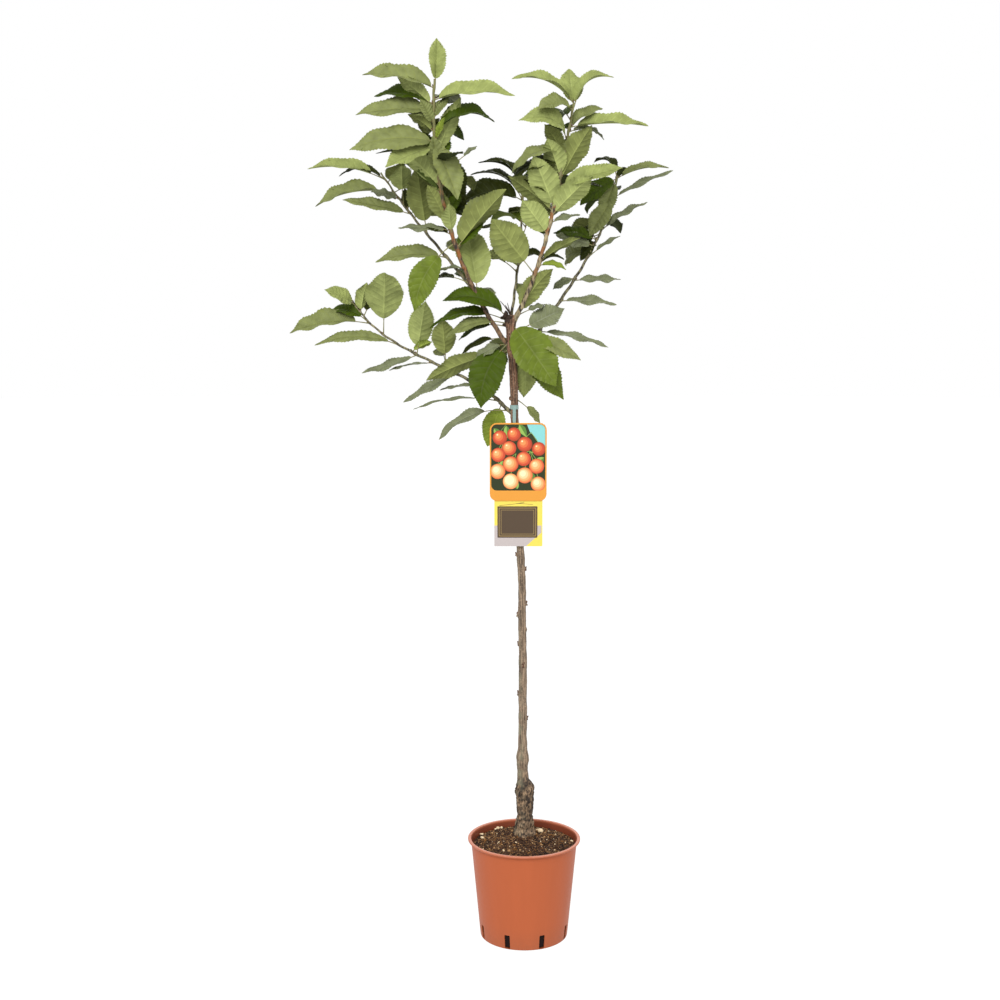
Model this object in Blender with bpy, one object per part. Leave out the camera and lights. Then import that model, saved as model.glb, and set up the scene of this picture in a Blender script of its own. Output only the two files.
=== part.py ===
"""Young cherry standard in a nursery pot.

One clear trunk with a graft union stands in a round plastic pot of soil. Six shoots fork off its top,
and closed, uneven solids stand for the leaves they carry. A picture label hangs on the trunk by a strap.
Metres, +Z up, +X to the right as seen from the front (-Y). The origin is the middle of the pot's underside.
"""
from collections import namedtuple
from math import cos, pi, radians, sin, tau

import bmesh
import bpy
import numpy as np
from mathutils import Vector

# Gap that touching pieces keep
CLEARANCE = 0.0003

# Nursery pot: a thin moulded wall that opens upwards, a rolled lip and drainage slots round its foot
POT_HEIGHT = 0.195
POT_FOOT_RADIUS = 0.0875
POT_TOP_RADIUS = 0.1020
POT_LIP_RADIUS = 0.1100
POT_LIP_HEIGHT = 0.0070
POT_LIP_ROUND = 0.0021
POT_WALL = 0.0020
POT_FLOOR = 0.0025
POT_FOOT_BEVEL = 0.0015
POT_SIDES = 48
SLOT_COUNT = 8
SLOT_WIDTH = 0.0110
SLOT_BOTTOM = 0.0040
SLOT_TOP = 0.0290
SLOT_CUT_DEPTH = 0.0160

# Potting soil: fills the pot to a finger's breadth below the lip, and is mounded up round the trunk
SOIL_EDGE_HEIGHT = 0.1800
SOIL_MOUND_HEIGHT = 0.1937
SOIL_MOUND_RADIUS = 0.0460
SOIL_SHOULDER_HEIGHT = 0.1885

# Trunk: flat cut at the soil, root flare, graft union, collar, long thin shaft, pruned top at the fork
TRUNK_SIDES = 10
TRUNK_FOOT_DEPTH = 0.018
TRUNK_TOP_DEPTH = 0.004
TrunkStation = namedtuple("TrunkStation", "height side radius")
TRUNK = (
    TrunkStation(0.1940, 0.0010, 0.0225),
    TrunkStation(0.2080, 0.0010, 0.0188),
    TrunkStation(0.2200, 0.0015, 0.0178),
    TrunkStation(0.2350, 0.0020, 0.0143),
    TrunkStation(0.2500, 0.0020, 0.0158),
    TrunkStation(0.2700, 0.0015, 0.0173),
    TrunkStation(0.2860, 0.0010, 0.0185),
    TrunkStation(0.2980, 0.0010, 0.0165),
    TrunkStation(0.3080, -0.0020, 0.0115),
    TrunkStation(0.3250, -0.0030, 0.0102),
    TrunkStation(0.3420, -0.0030, 0.0118),
    TrunkStation(0.3550, -0.0030, 0.0120),
    TrunkStation(0.3700, -0.0030, 0.0088),
    TrunkStation(0.4300, -0.0027, 0.0082),
    TrunkStation(0.5400, -0.0028, 0.0079),
    TrunkStation(0.6900, -0.0048, 0.0073),
    TrunkStation(0.7660, -0.0080, 0.0077),
    TrunkStation(0.9200, -0.0150, 0.0074),
    TrunkStation(1.0700, -0.0207, 0.0072),
    TrunkStation(1.1160, -0.0226, 0.0077),
    TrunkStation(1.1500, -0.0260, 0.0088),
    TrunkStation(1.1850, -0.0270, 0.0090),
    TrunkStation(1.2000, -0.0275, 0.0110),
    TrunkStation(1.2120, -0.0280, 0.0085),
)
TRUNK_RING_GAP = 0.048

# Shoots: each runs from a foot on its carrier to its tip, drawn aside by two bows
Shoot = namedtuple("Shoot", "carrier foot tip low_bow high_bow foot_radius tip_radius ends_at")
SHOOTS = {
    "left": Shoot("trunk", 1.146, (-0.165, -0.070, 1.632), (-0.067, 0, -0.014), (-0.060, 0, -0.004),
                  0.0052, 0.0022, 0.50),
    "right": Shoot("trunk", 1.188, (0.087, -0.060, 1.591), (0.036, 0, -0.003), (0.013, 0, 0.005),
                   0.0056, 0.0020, 0.46),
    "centre": Shoot("trunk", 1.196, (-0.003, 0.130, 1.447), (0.004, 0, 0.004), (0.007, 0, -0.003),
                    0.0034, 0.0018, 0.86),
    "far_right": Shoot("trunk", 1.110, (0.181, 0.120, 1.483), (0.005, 0, -0.010), (0.047, 0, -0.019),
                       0.0042, 0.0018, 0.66),
    "low_left": Shoot("trunk", 1.018, (-0.331, 0.050, 1.241), (0.020, 0, 0.032), (-0.034, 0, -0.044),
                      0.0040, 0.0017, 0.78),
    "side": Shoot("left", 0.235, (-0.275, 0.070, 1.483), (0.001, 0, -0.001), (-0.006, 0, -0.007),
                  0.0036, 0.0016, 0.76),
}
SHOOT_SIDES = 6
SHOOT_CLEARANCE = 0.0005
SHOOT_RING_GAP = 0.030
SHOOT_STEP = 0.01

# Leafy masses: a flat core round a point of a shoot, drawn out to leaf tips given by bearing (degrees
# from +X towards +Y), rise (degrees above level) and reach from the core's middle
Mass = namedtuple("Mass", "shoot at shift core tips")
MASSES = {
    "left_top": Mass("left", 0.96, (0, 0, 0.010), (0.045, 0.050, 0.034), (
        (359, 88, 0.094), (189, 8, 0.124), (355, -5, 0.144), (156, 0, 0.123),
        (278, -5, 0.112), (80, 7, 0.102))),
    "left_upper": Mass("left", 0.85, (0, 0, 0.008), (0.046, 0.052, 0.032), (
        (188, 5, 0.132), (15, 4, 0.114), (328, 31, 0.068), (265, -10, 0.122), (81, 4, 0.112))),
    "left_middle": Mass("left", 0.73, (0, 0, 0.005), (0.050, 0.055, 0.046), (
        (183, 5, 0.150), (221, -15, 0.110), (301, -11, 0.096), (25, -28, 0.079), (88, 13, 0.123))),
    "left_inner": Mass("left", 0.56, (0, 0, 0), (0.050, 0.052, 0.052), (
        (197, 24, 0.108), (247, 24, 0.107), (342, 9, 0.136), (166, -25, 0.093), (64, 10, 0.113))),
    "left_low": Mass("left", 0.36, (-0.010, -0.030, 0), (0.046, 0.040, 0.054), (
        (314, -34, 0.085), (172, -2, 0.150), (222, -42, 0.141), (147, -34, 0.068), (77, 12, 0.060))),
    "side_tip": Mass("side", 0.85, (0, 0, 0.010), (0.048, 0.052, 0.034), (
        (183, 12, 0.157), (196, -15, 0.146), (156, -11, 0.104), (71, -15, 0.065),
        (257, -13, 0.105), (99, 8, 0.133))),
    "centre_tip": Mass("centre", 0.98, (0, 0, 0), (0.050, 0.050, 0.036), (
        (180, 22, 0.105), (189, -8, 0.119), (147, 36, 0.115), (311, -17, 0.056),
        (81, 19, 0.129), (20, 10, 0.090))),
    "right_top": Mass("right", 0.99, (0, 0, 0.008), (0.042, 0.048, 0.030), (
        (180, 21, 0.117), (342, 30, 0.077), (180, 85, 0.048), (141, 2, 0.081),
        (267, -2, 0.110), (80, 17, 0.106))),
    "right_upper": Mass("right", 0.88, (0, 0, 0.006), (0.046, 0.050, 0.038), (
        (351, 0, 0.139), (186, 11, 0.091), (42, 29, 0.103), (341, -11, 0.066),
        (263, -12, 0.124), (82, 8, 0.112))),
    "right_middle": Mass("right", 0.71, (0, 0, 0.002), (0.048, 0.052, 0.048), (
        (167, 7, 0.096), (349, -1, 0.107), (298, 30, 0.105), (240, 0, 0.115), (81, 5, 0.122))),
    "right_inner": Mass("right", 0.52, (0, 0, 0), (0.048, 0.050, 0.046), (
        (308, 24, 0.098), (234, 1, 0.098), (50, 0, 0.078), (262, -7, 0.132), (83, 12, 0.103))),
    "right_low": Mass("right", 0.29, (0.004, -0.030, 0.001), (0.044, 0.038, 0.052), (
        (221, 30, 0.139), (345, 27, 0.087), (275, -14, 0.100), (131, 6, 0.060), (46, -6, 0.069))),
    "far_right_tip": Mass("far_right", 0.94, (0, 0, 0.008), (0.044, 0.050, 0.050), (
        (348, 17, 0.102), (339, 10, 0.114), (216, -24, 0.093), (129, 43, 0.072),
        (72, 1, 0.126), (259, -6, 0.113))),
    "far_right_middle": Mass("far_right", 0.74, (0, 0, 0), (0.046, 0.050, 0.052), (
        (346, 29, 0.099), (210, -1, 0.079), (237, -32, 0.085), (52, -7, 0.063),
        (73, 8, 0.127), (300, 0, 0.090))),
    "far_right_low": Mass("far_right", 0.44, (0.008, 0.026, 0), (0.044, 0.040, 0.040), (
        (341, 9, 0.097), (333, -19, 0.096), (121, -1, 0.060), (70, 4, 0.117))),
    "fork_right": Mass("far_right", 0.25, (0.012, 0.018, -0.004), (0.042, 0.042, 0.030), (
        (345, -19, 0.128), (20, -45, 0.095), (299, 18, 0.060), (110, -3, 0.070), (60, 0, 0.110))),
    "fork_front": Mass("trunk", 1.160, (0.022, -0.038, 0), (0.042, 0.040, 0.042), (
        (314, -44, 0.098), (343, -54, 0.121), (0, -85, 0.090), (180, 60, 0.044), (258, -35, 0.090))),
    "fork_left": Mass("trunk", 1.205, (-0.048, 0.028, 0), (0.040, 0.042, 0.034), (
        (180, 27, 0.089), (204, -43, 0.066), (163, -25, 0.078), (155, -1, 0.095),
        (331, 21, 0.044), (102, 0, 0.113))),
    "low_left_inner": Mass("trunk", 1.112, (-0.044, -0.020, 0), (0.042, 0.038, 0.034), (
        (264, -54, 0.087), (180, -12, 0.103), (183, -21, 0.160), (149, 35, 0.048),
        (18, 30, 0.046), (241, -37, 0.071))),
    "low_left_middle": Mass("low_left", 0.51, (0, 0, 0.006), (0.044, 0.048, 0.030), (
        (259, 74, 0.108), (336, 54, 0.085), (158, -13, 0.085), (159, -10, 0.144), (249, 14, 0.110),
        (285, -4, 0.104), (89, 6, 0.121))),
    "low_left_tip": Mass("low_left", 0.85, (0, 0, 0.006), (0.048, 0.050, 0.032), (
        (186, 39, 0.109), (187, -8, 0.151), (112, 73, 0.078), (169, -19, 0.114), (335, 49, 0.109),
        (129, -62, 0.096), (270, -1, 0.120), (86, 4, 0.121))),
    "low_left_foot": Mass("low_left", 0.10, (0, 0.024, 0.004), (0.034, 0.030, 0.024), (
        (200, -32, 0.135), (170, -72, 0.098), (168, -5, 0.150), (114, -19, 0.093), (20, -25, 0.060))),
}
MASS_SEGMENTS = 18
MASS_RINGS = 8
TIP_SPREAD = radians(21)
TIP_FLATNESS = 1.6
LUMP_HEIGHT = 0.10
LUMP_WAVES = 6
LUMP_PITCH = 3.0
SEED = 7
LIMB_STEPS = 20
LIMB_MARGIN = 0.02

# Picture label: a rounded card in front of a longer card, on a strap looped round the trunk
CARD_THICKNESS = 0.0006
FRONT_CARD_SIZE = (0.1085, 0.1490)
FRONT_CARD_CENTRE = (-0.0125, 0.9340)
FRONT_CARD_CORNER = 0.0140
BACK_CARD_SIZE = (0.0920, 0.2360)
BACK_CARD_CENTRE = (-0.0120, 0.8900)
BACK_CARD_CORNER = 0.0015
STRAP_HEIGHT = 1.0380
STRAP_WIDTH = 0.0080
STRAP_THICKNESS = 0.0008
STRAP_TAIL_WIDTH = 0.0060
STRAP_TAIL_BOTTOM = 0.9860
CORNER_POINTS = 6

COLOURS = {
    "pot": ((0.56, 0.16, 0.075), 0.45),
    "soil": ((0.07, 0.036, 0.018), 0.95),
    "bark": ((0.20, 0.14, 0.10), 0.85),
    "shoot": ((0.26, 0.12, 0.06), 0.60),
    "leaf": ((0.18, 0.26, 0.07), 0.55),
    "card": ((0.80, 0.45, 0.08), 0.35),
    "strap": ((0.30, 0.62, 0.58), 0.30),
}


def clear_scene():
    """Remove whatever the file opened with."""
    for old in list(bpy.data.objects):
        bpy.data.objects.remove(old)


def finish_material(name):
    """A plain Principled material of one named colour and roughness."""
    material = bpy.data.materials.get(name)
    if material:
        return material
    colour, roughness = COLOURS[name]
    material = bpy.data.materials.new(name)
    material.use_nodes = True
    shader = material.node_tree.nodes["Principled BSDF"]
    shader.inputs["Base Color"].default_value = (*colour, 1)
    shader.inputs["Roughness"].default_value = roughness
    shader.inputs["Metallic"].default_value = 0
    return material


def add_object(name, bm, material, sharp_degrees=35):
    """Turn a bmesh into a named object with outward faces, smooth but for its sharp edges."""
    bmesh.ops.recalc_face_normals(bm, faces=bm.faces)
    mesh = bpy.data.meshes.new(name)
    bm.to_mesh(mesh)
    bm.free()
    mesh.shade_smooth()
    mesh.set_sharp_from_angle(angle=radians(sharp_degrees))
    mesh.materials.append(finish_material(material))
    thing = bpy.data.objects.new(name, mesh)
    bpy.context.scene.collection.objects.link(thing)
    return thing


def make_cutter(thing):
    """Keep an object as a guide that only cuts others."""
    thing.hide_render = True
    thing.display_type = "WIRE"
    return thing


def cut(target, cutter):
    """Take the cutter's shape out of the target."""
    boolean = target.modifiers.new("cut " + cutter.name, "BOOLEAN")
    boolean.operation = "DIFFERENCE"
    boolean.solver = "EXACT"
    boolean.object = cutter


def turned(name, profile, material):
    """Spin an open profile of (radius, height), which starts and ends on the axis, into a closed solid."""
    bm = bmesh.new()
    points = [bm.verts.new((radius, 0, height)) for radius, height in profile]
    edges = [bm.edges.new(pair) for pair in zip(points, points[1:])]
    bmesh.ops.spin(bm, geom=points + edges, axis=(0, 0, 1), cent=(0, 0, 0), angle=tau, steps=POT_SIDES,
                   use_merge=True)
    bmesh.ops.remove_doubles(bm, verts=bm.verts, dist=1e-6)
    return add_object(name, bm, material)


def pot_radius(height):
    """Outer radius of the pot's wall at a height."""
    return POT_FOOT_RADIUS + (POT_TOP_RADIUS - POT_FOOT_RADIUS) * height / POT_HEIGHT


def build_pot():
    """The pot with its rolled lip, cut by the drainage slots."""
    lip_bottom = POT_HEIGHT - POT_LIP_HEIGHT
    inner_top = pot_radius(POT_HEIGHT) - POT_WALL
    profile = (
        (0, 0),
        (POT_FOOT_RADIUS - POT_FOOT_BEVEL, 0),
        (pot_radius(POT_FOOT_BEVEL), POT_FOOT_BEVEL),
        (pot_radius(lip_bottom), lip_bottom),
        (POT_LIP_RADIUS - POT_LIP_ROUND, lip_bottom),
        (POT_LIP_RADIUS, lip_bottom + POT_LIP_ROUND),
        (POT_LIP_RADIUS, POT_HEIGHT - POT_LIP_ROUND),
        (POT_LIP_RADIUS - POT_LIP_ROUND, POT_HEIGHT),
        (inner_top + POT_LIP_ROUND, POT_HEIGHT),
        (inner_top, POT_HEIGHT - POT_LIP_ROUND),
        (pot_radius(POT_FLOOR) - POT_WALL, POT_FLOOR),
        (0, POT_FLOOR),
    )
    pot = turned("pot", profile, "pot")
    for number in range(SLOT_COUNT):
        bearing = tau * (number + 0.5) / SLOT_COUNT
        bm = bmesh.new()
        bmesh.ops.create_cube(bm, size=1)
        bmesh.ops.scale(bm, verts=bm.verts, vec=(SLOT_CUT_DEPTH, SLOT_WIDTH, SLOT_TOP - SLOT_BOTTOM))
        slot = add_object("slot_cutter_%d" % number, bm, "pot")
        reach = pot_radius(SLOT_BOTTOM)
        slot.location = (reach * cos(bearing), reach * sin(bearing), (SLOT_TOP + SLOT_BOTTOM) / 2)
        slot.rotation_euler = (0, 0, bearing)
        cut(pot, make_cutter(slot))


def build_soil():
    """The soil as one loose-packed plug, a hair clear of the pot all round."""
    inset = POT_WALL + CLEARANCE
    bottom = POT_FLOOR + CLEARANCE
    edge = SOIL_EDGE_HEIGHT
    shoulder_radius = (SOIL_MOUND_RADIUS + pot_radius(edge)) / 2
    profile = (
        (0, bottom),
        (pot_radius(bottom) - inset, bottom),
        (pot_radius(edge) - inset, edge),
        (shoulder_radius, SOIL_SHOULDER_HEIGHT),
        (SOIL_MOUND_RADIUS, SOIL_MOUND_HEIGHT),
        (0, SOIL_MOUND_HEIGHT),
    )
    turned("potting_soil", profile, "soil")


def trunk_place(height):
    """Centre and radius of the trunk at a height, read smoothly between its stations."""
    heights = [station.height for station in TRUNK]
    high = int(np.clip(np.searchsorted(heights, height), 1, len(TRUNK) - 1))
    below, above = TRUNK[high - 1], TRUNK[high]
    share = float(np.clip((height - below.height) / (above.height - below.height), 0, 1))
    ease = share * share * (3 - 2 * share)
    along = (height - TRUNK[0].height) / (TRUNK[-1].height - TRUNK[0].height)
    centre = Vector((
        below.side + (above.side - below.side) * ease,
        TRUNK_FOOT_DEPTH + (TRUNK_TOP_DEPTH - TRUNK_FOOT_DEPTH) * along,
        height,
    ))
    return centre, below.radius + (above.radius - below.radius) * ease


def shoot_foot(shoot):
    """The point on the carrier's own centre line that a shoot starts from."""
    if shoot.carrier == "trunk":
        return trunk_place(shoot.foot)[0]
    return shoot_point(SHOOTS[shoot.carrier], shoot.foot)


def shoot_point(shoot, share):
    """Point of a shoot's centre line at a share of the way from foot to tip."""
    foot, tip = shoot_foot(shoot), Vector(shoot.tip)
    low = 3 * share * (1 - share) ** 2
    high = 3 * share ** 2 * (1 - share)
    return foot.lerp(tip, share) + low * Vector(shoot.low_bow) + high * Vector(shoot.high_bow)


def shoot_radius(shoot, share):
    """Radius of a shoot, which tapers to its tip."""
    return shoot.foot_radius + (shoot.tip_radius - shoot.foot_radius) * share


def closed_tube(name, rings, material):
    """A closed solid through rings of as many points each, capped flat at both ends."""
    bm = bmesh.new()
    loops = [[bm.verts.new(point) for point in ring] for ring in rings]
    sides = len(loops[0])
    for lower, upper in zip(loops, loops[1:]):
        for side in range(sides):
            beside = (side + 1) % sides
            bm.faces.new((lower[side], lower[beside], upper[beside], upper[side]))
    bm.faces.new(reversed(loops[0]))
    bm.faces.new(loops[-1])
    return add_object(name, bm, material)


def trunk_ring(height, clearance=0.0):
    """One level ring of the trunk's surface."""
    centre, radius = trunk_place(height)
    turn = tau / TRUNK_SIDES
    spokes = [Vector((cos(turn * side), sin(turn * side), 0)) for side in range(TRUNK_SIDES)]
    return [centre + spoke * (radius + clearance) for spoke in spokes]


def trunk_heights():
    """The stations' heights, with more between stations that stand far apart."""
    heights = [TRUNK[0].height]
    for below, above in zip(TRUNK, TRUNK[1:]):
        rise = above.height - below.height
        steps = max(1, round(rise / TRUNK_RING_GAP))
        heights += [below.height + rise * step / steps for step in range(1, steps + 1)]
    return heights


def build_trunk():
    """The trunk, and a slightly fatter copy that cuts what stands against it."""
    heights = trunk_heights()
    closed_tube("trunk", [trunk_ring(height) for height in heights], "bark")
    fatter = [trunk_ring(height, CLEARANCE) for height in heights]
    fatter[0] = [point - Vector((0, 0, CLEARANCE)) for point in fatter[0]]
    fatter[-1] = [point + Vector((0, 0, CLEARANCE)) for point in fatter[-1]]
    return make_cutter(closed_tube("trunk_clearance", fatter, "bark"))


def shoot_rings(shoot, end, clearance=0.0):
    """Rings square to a shoot from its foot to a share of its way, the first one inside its carrier."""
    length = (Vector(shoot.tip) - shoot_foot(shoot)).length * end
    count = max(3, round(length / SHOOT_RING_GAP) + 1)
    rings = []
    for number in range(count):
        share = end * number / (count - 1)
        centre = shoot_point(shoot, share)
        along = (shoot_point(shoot, share + SHOOT_STEP) - shoot_point(shoot, share - SHOOT_STEP)).normalized()
        across = Vector((0, 1, 0)).cross(along).normalized()
        beside = along.cross(across)
        radius = shoot_radius(shoot, share) + clearance
        if number == count - 1:
            centre = centre + along * clearance
        angles = [tau * side / SHOOT_SIDES for side in range(SHOOT_SIDES)]
        rings.append([centre + (across * cos(angle) + beside * sin(angle)) * radius for angle in angles])
    return rings


def build_shoots(trunk_cutter):
    """Each bare limb up to the mass it ends in, saddled on its carrier, with its own fatter copy."""
    cutters = {"trunk": trunk_cutter}
    for name, shoot in SHOOTS.items():
        limb = closed_tube("bough_" + name, shoot_rings(shoot, shoot.ends_at), "shoot")
        cut(limb, cutters[shoot.carrier])
        fatter = shoot_rings(shoot, shoot.ends_at, SHOOT_CLEARANCE)
        cutters[name] = make_cutter(closed_tube("bough_" + name + "_clearance", fatter, "shoot"))
    return cutters


def mass_middle(mass):
    """The point that a leafy mass spreads from."""
    if mass.shoot == "trunk":
        middle = trunk_place(mass.at)[0]
    else:
        middle = shoot_point(SHOOTS[mass.shoot], mass.at)
    return middle + Vector(mass.shift)


def heading(bearing, rise):
    """Unit vector of a bearing and a rise in degrees."""
    level = cos(radians(rise))
    return np.array((level * cos(radians(bearing)), level * sin(radians(bearing)), sin(radians(rise))))


def mass_points(mass, directions, random):
    """The sphere's directions stretched to the core's size, with lumps, and drawn out to the leaf tips."""
    reach = 1 / np.sqrt(((directions / np.array(mass.core)) ** 2).sum(axis=1))
    swirls = random.normal(size=(LUMP_WAVES, 3)) * LUMP_PITCH
    phases = random.uniform(0, tau, LUMP_WAVES)
    reach *= 1 + LUMP_HEIGHT * np.sin(directions @ swirls.T + phases).sum(axis=1) * 2 / LUMP_WAVES
    points = directions * reach[:, None]
    for bearing, rise, far in mass.tips:
        way = heading(bearing, rise)
        slope = directions - np.outer(directions @ way, way)
        lift = np.array((0, 0, TIP_FLATNESS - 1))
        slant = np.linalg.norm(slope + np.outer(slope[:, 2], lift), axis=1)
        angle = np.arctan2(slant, directions @ way)
        drawn = reach + (far - reach) * np.exp(-(angle / TIP_SPREAD) ** 2)
        longer = drawn > np.linalg.norm(points, axis=1)
        points[longer] = directions[longer] * drawn[longer, None]
        points[int(np.argmax(directions @ way))] = way * far
    return points


def part_neighbours(middles, clouds):
    """Pull every cloud of points back behind a plane between it and each neighbour it would reach."""
    held = {name: cloud.copy() for name, cloud in clouds.items()}
    for name, cloud in clouds.items():
        for other, other_cloud in clouds.items():
            if other == name:
                continue
            between = np.array(middles[other] - middles[name])
            distance = np.linalg.norm(between)
            way = between / distance
            own_reach = (cloud @ way).max()
            other_reach = (other_cloud @ -way).max()
            if own_reach + other_reach < distance - CLEARANCE:
                continue
            limit = distance * own_reach / (own_reach + other_reach) - CLEARANCE / 2
            depth = held[name] @ way
            over = depth > limit
            held[name][over] *= (limit / depth[over])[:, None]
    return held


def build_masses(cutters):
    """The leafy masses, parted from each other and cut round every limb that passes through them."""
    random = np.random.default_rng(SEED)
    sphere = bmesh.new()
    bmesh.ops.create_uvsphere(sphere, u_segments=MASS_SEGMENTS, v_segments=MASS_RINGS, radius=1)
    directions = np.array([tuple(vert.co.normalized()) for vert in sphere.verts])
    middles = {name: mass_middle(mass) for name, mass in MASSES.items()}
    clouds = {name: mass_points(mass, directions, random) for name, mass in MASSES.items()}
    held = part_neighbours(middles, clouds)
    for name in MASSES:
        bm = sphere.copy()
        for vert, point in zip(bm.verts, held[name]):
            vert.co = middles[name] + Vector(point)
        thing = add_object("foliage_" + name, bm, "leaf", sharp_degrees=180)
        size = np.linalg.norm(held[name], axis=1).max()
        for carrier, cutter in cutters.items():
            if near_limb(carrier, middles[name], size):
                cut(thing, cutter)
    sphere.free()


def near_limb(carrier, middle, size):
    """Whether a limb comes within a distance of a point."""
    if carrier == "trunk":
        places = [trunk_place(height)[0] for height in trunk_heights()]
    else:
        shoot = SHOOTS[carrier]
        places = [shoot_point(shoot, shoot.ends_at * step / LIMB_STEPS) for step in range(LIMB_STEPS + 1)]
    return min((place - middle).length for place in places) < size + LIMB_MARGIN


def rounded_card(name, size, centre, corner, back):
    """An upright card: a rectangle with round corners, one thickness deep towards the viewer."""
    width, height = size
    outline = []
    for turn, (side, up) in enumerate(((1, 1), (-1, 1), (-1, -1), (1, -1))):
        middle = (centre[0] + side * (width / 2 - corner), centre[1] + up * (height / 2 - corner))
        for step in range(CORNER_POINTS):
            angle = pi / 2 * (turn + step / (CORNER_POINTS - 1))
            outline.append((middle[0] + corner * cos(angle), middle[1] + corner * sin(angle)))
    bm = bmesh.new()
    face = bm.faces.new([bm.verts.new((x, back, z)) for x, z in outline])
    drawn = bmesh.ops.extrude_face_region(bm, geom=[face])["geom"]
    moved = [item for item in drawn if isinstance(item, bmesh.types.BMVert)]
    bmesh.ops.translate(bm, verts=moved, vec=(0, -CARD_THICKNESS, 0))
    return add_object(name, bm, "card")


def build_strap(trunk_cutter):
    """The strap round the trunk, with the tail that hangs from it; gives the depth of the tail's front."""
    low, high = STRAP_HEIGHT - STRAP_WIDTH / 2, STRAP_HEIGHT + STRAP_WIDTH / 2
    outer = [trunk_ring(height, CLEARANCE + STRAP_THICKNESS) for height in (low, high)]
    strap = closed_tube("label_strap", outer, "strap")
    front = min(point.y for ring in outer for point in ring)
    tail_height = high - STRAP_TAIL_BOTTOM
    bm = bmesh.new()
    bmesh.ops.create_cube(bm, size=1)
    bmesh.ops.scale(bm, verts=bm.verts, vec=(STRAP_TAIL_WIDTH, STRAP_THICKNESS, tail_height))
    tail_middle = (trunk_place(STRAP_HEIGHT)[0].x, front, high - tail_height / 2)
    bmesh.ops.translate(bm, verts=bm.verts, vec=tail_middle)
    join = strap.modifiers.new("tail", "BOOLEAN")
    join.operation = "UNION"
    join.solver = "EXACT"
    join.object = make_cutter(add_object("label_strap_tail", bm, "strap"))
    cut(strap, trunk_cutter)
    return front - STRAP_THICKNESS / 2


def build_label(trunk_cutter):
    """The strap, the long card in front of its tail and the rounded card in front of that."""
    back_card = build_strap(trunk_cutter) - CLEARANCE
    front_card = back_card - CARD_THICKNESS - CLEARANCE
    rounded_card("label_back_card", BACK_CARD_SIZE, BACK_CARD_CENTRE, BACK_CARD_CORNER, back_card)
    rounded_card("label_front_card", FRONT_CARD_SIZE, FRONT_CARD_CENTRE, FRONT_CARD_CORNER, front_card)


def main():
    """Build every piece of the tree in its pot."""
    clear_scene()
    build_pot()
    build_soil()
    trunk_cutter = build_trunk()
    cutters = build_shoots(trunk_cutter)
    build_masses(cutters)
    build_label(trunk_cutter)


main()
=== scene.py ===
"""Looks of a young sweet cherry standard in its nursery pot.

The packed model gives the sizes and places of the pot, the soil, the trunk and the label. Shoots, spurs and
leaves grow on from the limbs by a seeded rule. Metres, +Z up, and the viewer stands at -Y.
"""
from collections import namedtuple
from math import cos, hypot, pi, radians, sin, tau

import bmesh
import bpy
import numpy as np
from bpy.props import FloatProperty, FloatVectorProperty, IntProperty, PointerProperty
from mathutils import Euler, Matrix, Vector, noise


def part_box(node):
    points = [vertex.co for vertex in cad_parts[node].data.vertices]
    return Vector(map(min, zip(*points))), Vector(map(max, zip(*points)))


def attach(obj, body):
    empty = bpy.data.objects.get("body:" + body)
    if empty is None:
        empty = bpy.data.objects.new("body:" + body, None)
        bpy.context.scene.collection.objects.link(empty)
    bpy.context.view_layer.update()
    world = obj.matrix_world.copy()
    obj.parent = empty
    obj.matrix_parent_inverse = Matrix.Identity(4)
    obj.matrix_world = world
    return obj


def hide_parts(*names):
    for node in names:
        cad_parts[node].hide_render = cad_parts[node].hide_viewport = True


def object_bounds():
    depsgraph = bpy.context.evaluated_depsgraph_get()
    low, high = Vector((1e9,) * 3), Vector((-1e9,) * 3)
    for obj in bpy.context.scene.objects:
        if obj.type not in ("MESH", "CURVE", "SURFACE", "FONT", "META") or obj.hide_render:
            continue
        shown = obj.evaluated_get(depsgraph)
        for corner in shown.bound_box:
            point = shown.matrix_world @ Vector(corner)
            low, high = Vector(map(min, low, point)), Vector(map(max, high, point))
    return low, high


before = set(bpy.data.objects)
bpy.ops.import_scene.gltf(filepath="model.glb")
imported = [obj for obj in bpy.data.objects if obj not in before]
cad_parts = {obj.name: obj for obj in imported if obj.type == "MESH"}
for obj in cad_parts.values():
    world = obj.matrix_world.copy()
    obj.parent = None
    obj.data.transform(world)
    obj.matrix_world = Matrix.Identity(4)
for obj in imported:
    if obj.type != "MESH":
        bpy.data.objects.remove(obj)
CAD_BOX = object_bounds()

bl_info = {
    "name": "Young cherry in a nursery pot",
    "version": (1, 0, 0),
    "blender": (4, 5, 0),
    "location": "3D Viewport > Sidebar > Cherry",
    "description": "Bark, leaves, soil, pot and picture label of a potted sweet cherry standard",
    "category": "Add Mesh",
}

BODY = "root"
VIEWER = Vector((0, -1, 0))
UP = Vector((0, 0, 1))
POT_LOW, POT_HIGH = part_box("pot")
SOIL_LOW, SOIL_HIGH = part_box("potting_soil")
FRONT_LOW, FRONT_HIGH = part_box("label_front_card")
BACK_LOW, BACK_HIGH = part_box("label_back_card")
STRAP_LOW, STRAP_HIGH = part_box("label_strap")

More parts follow.
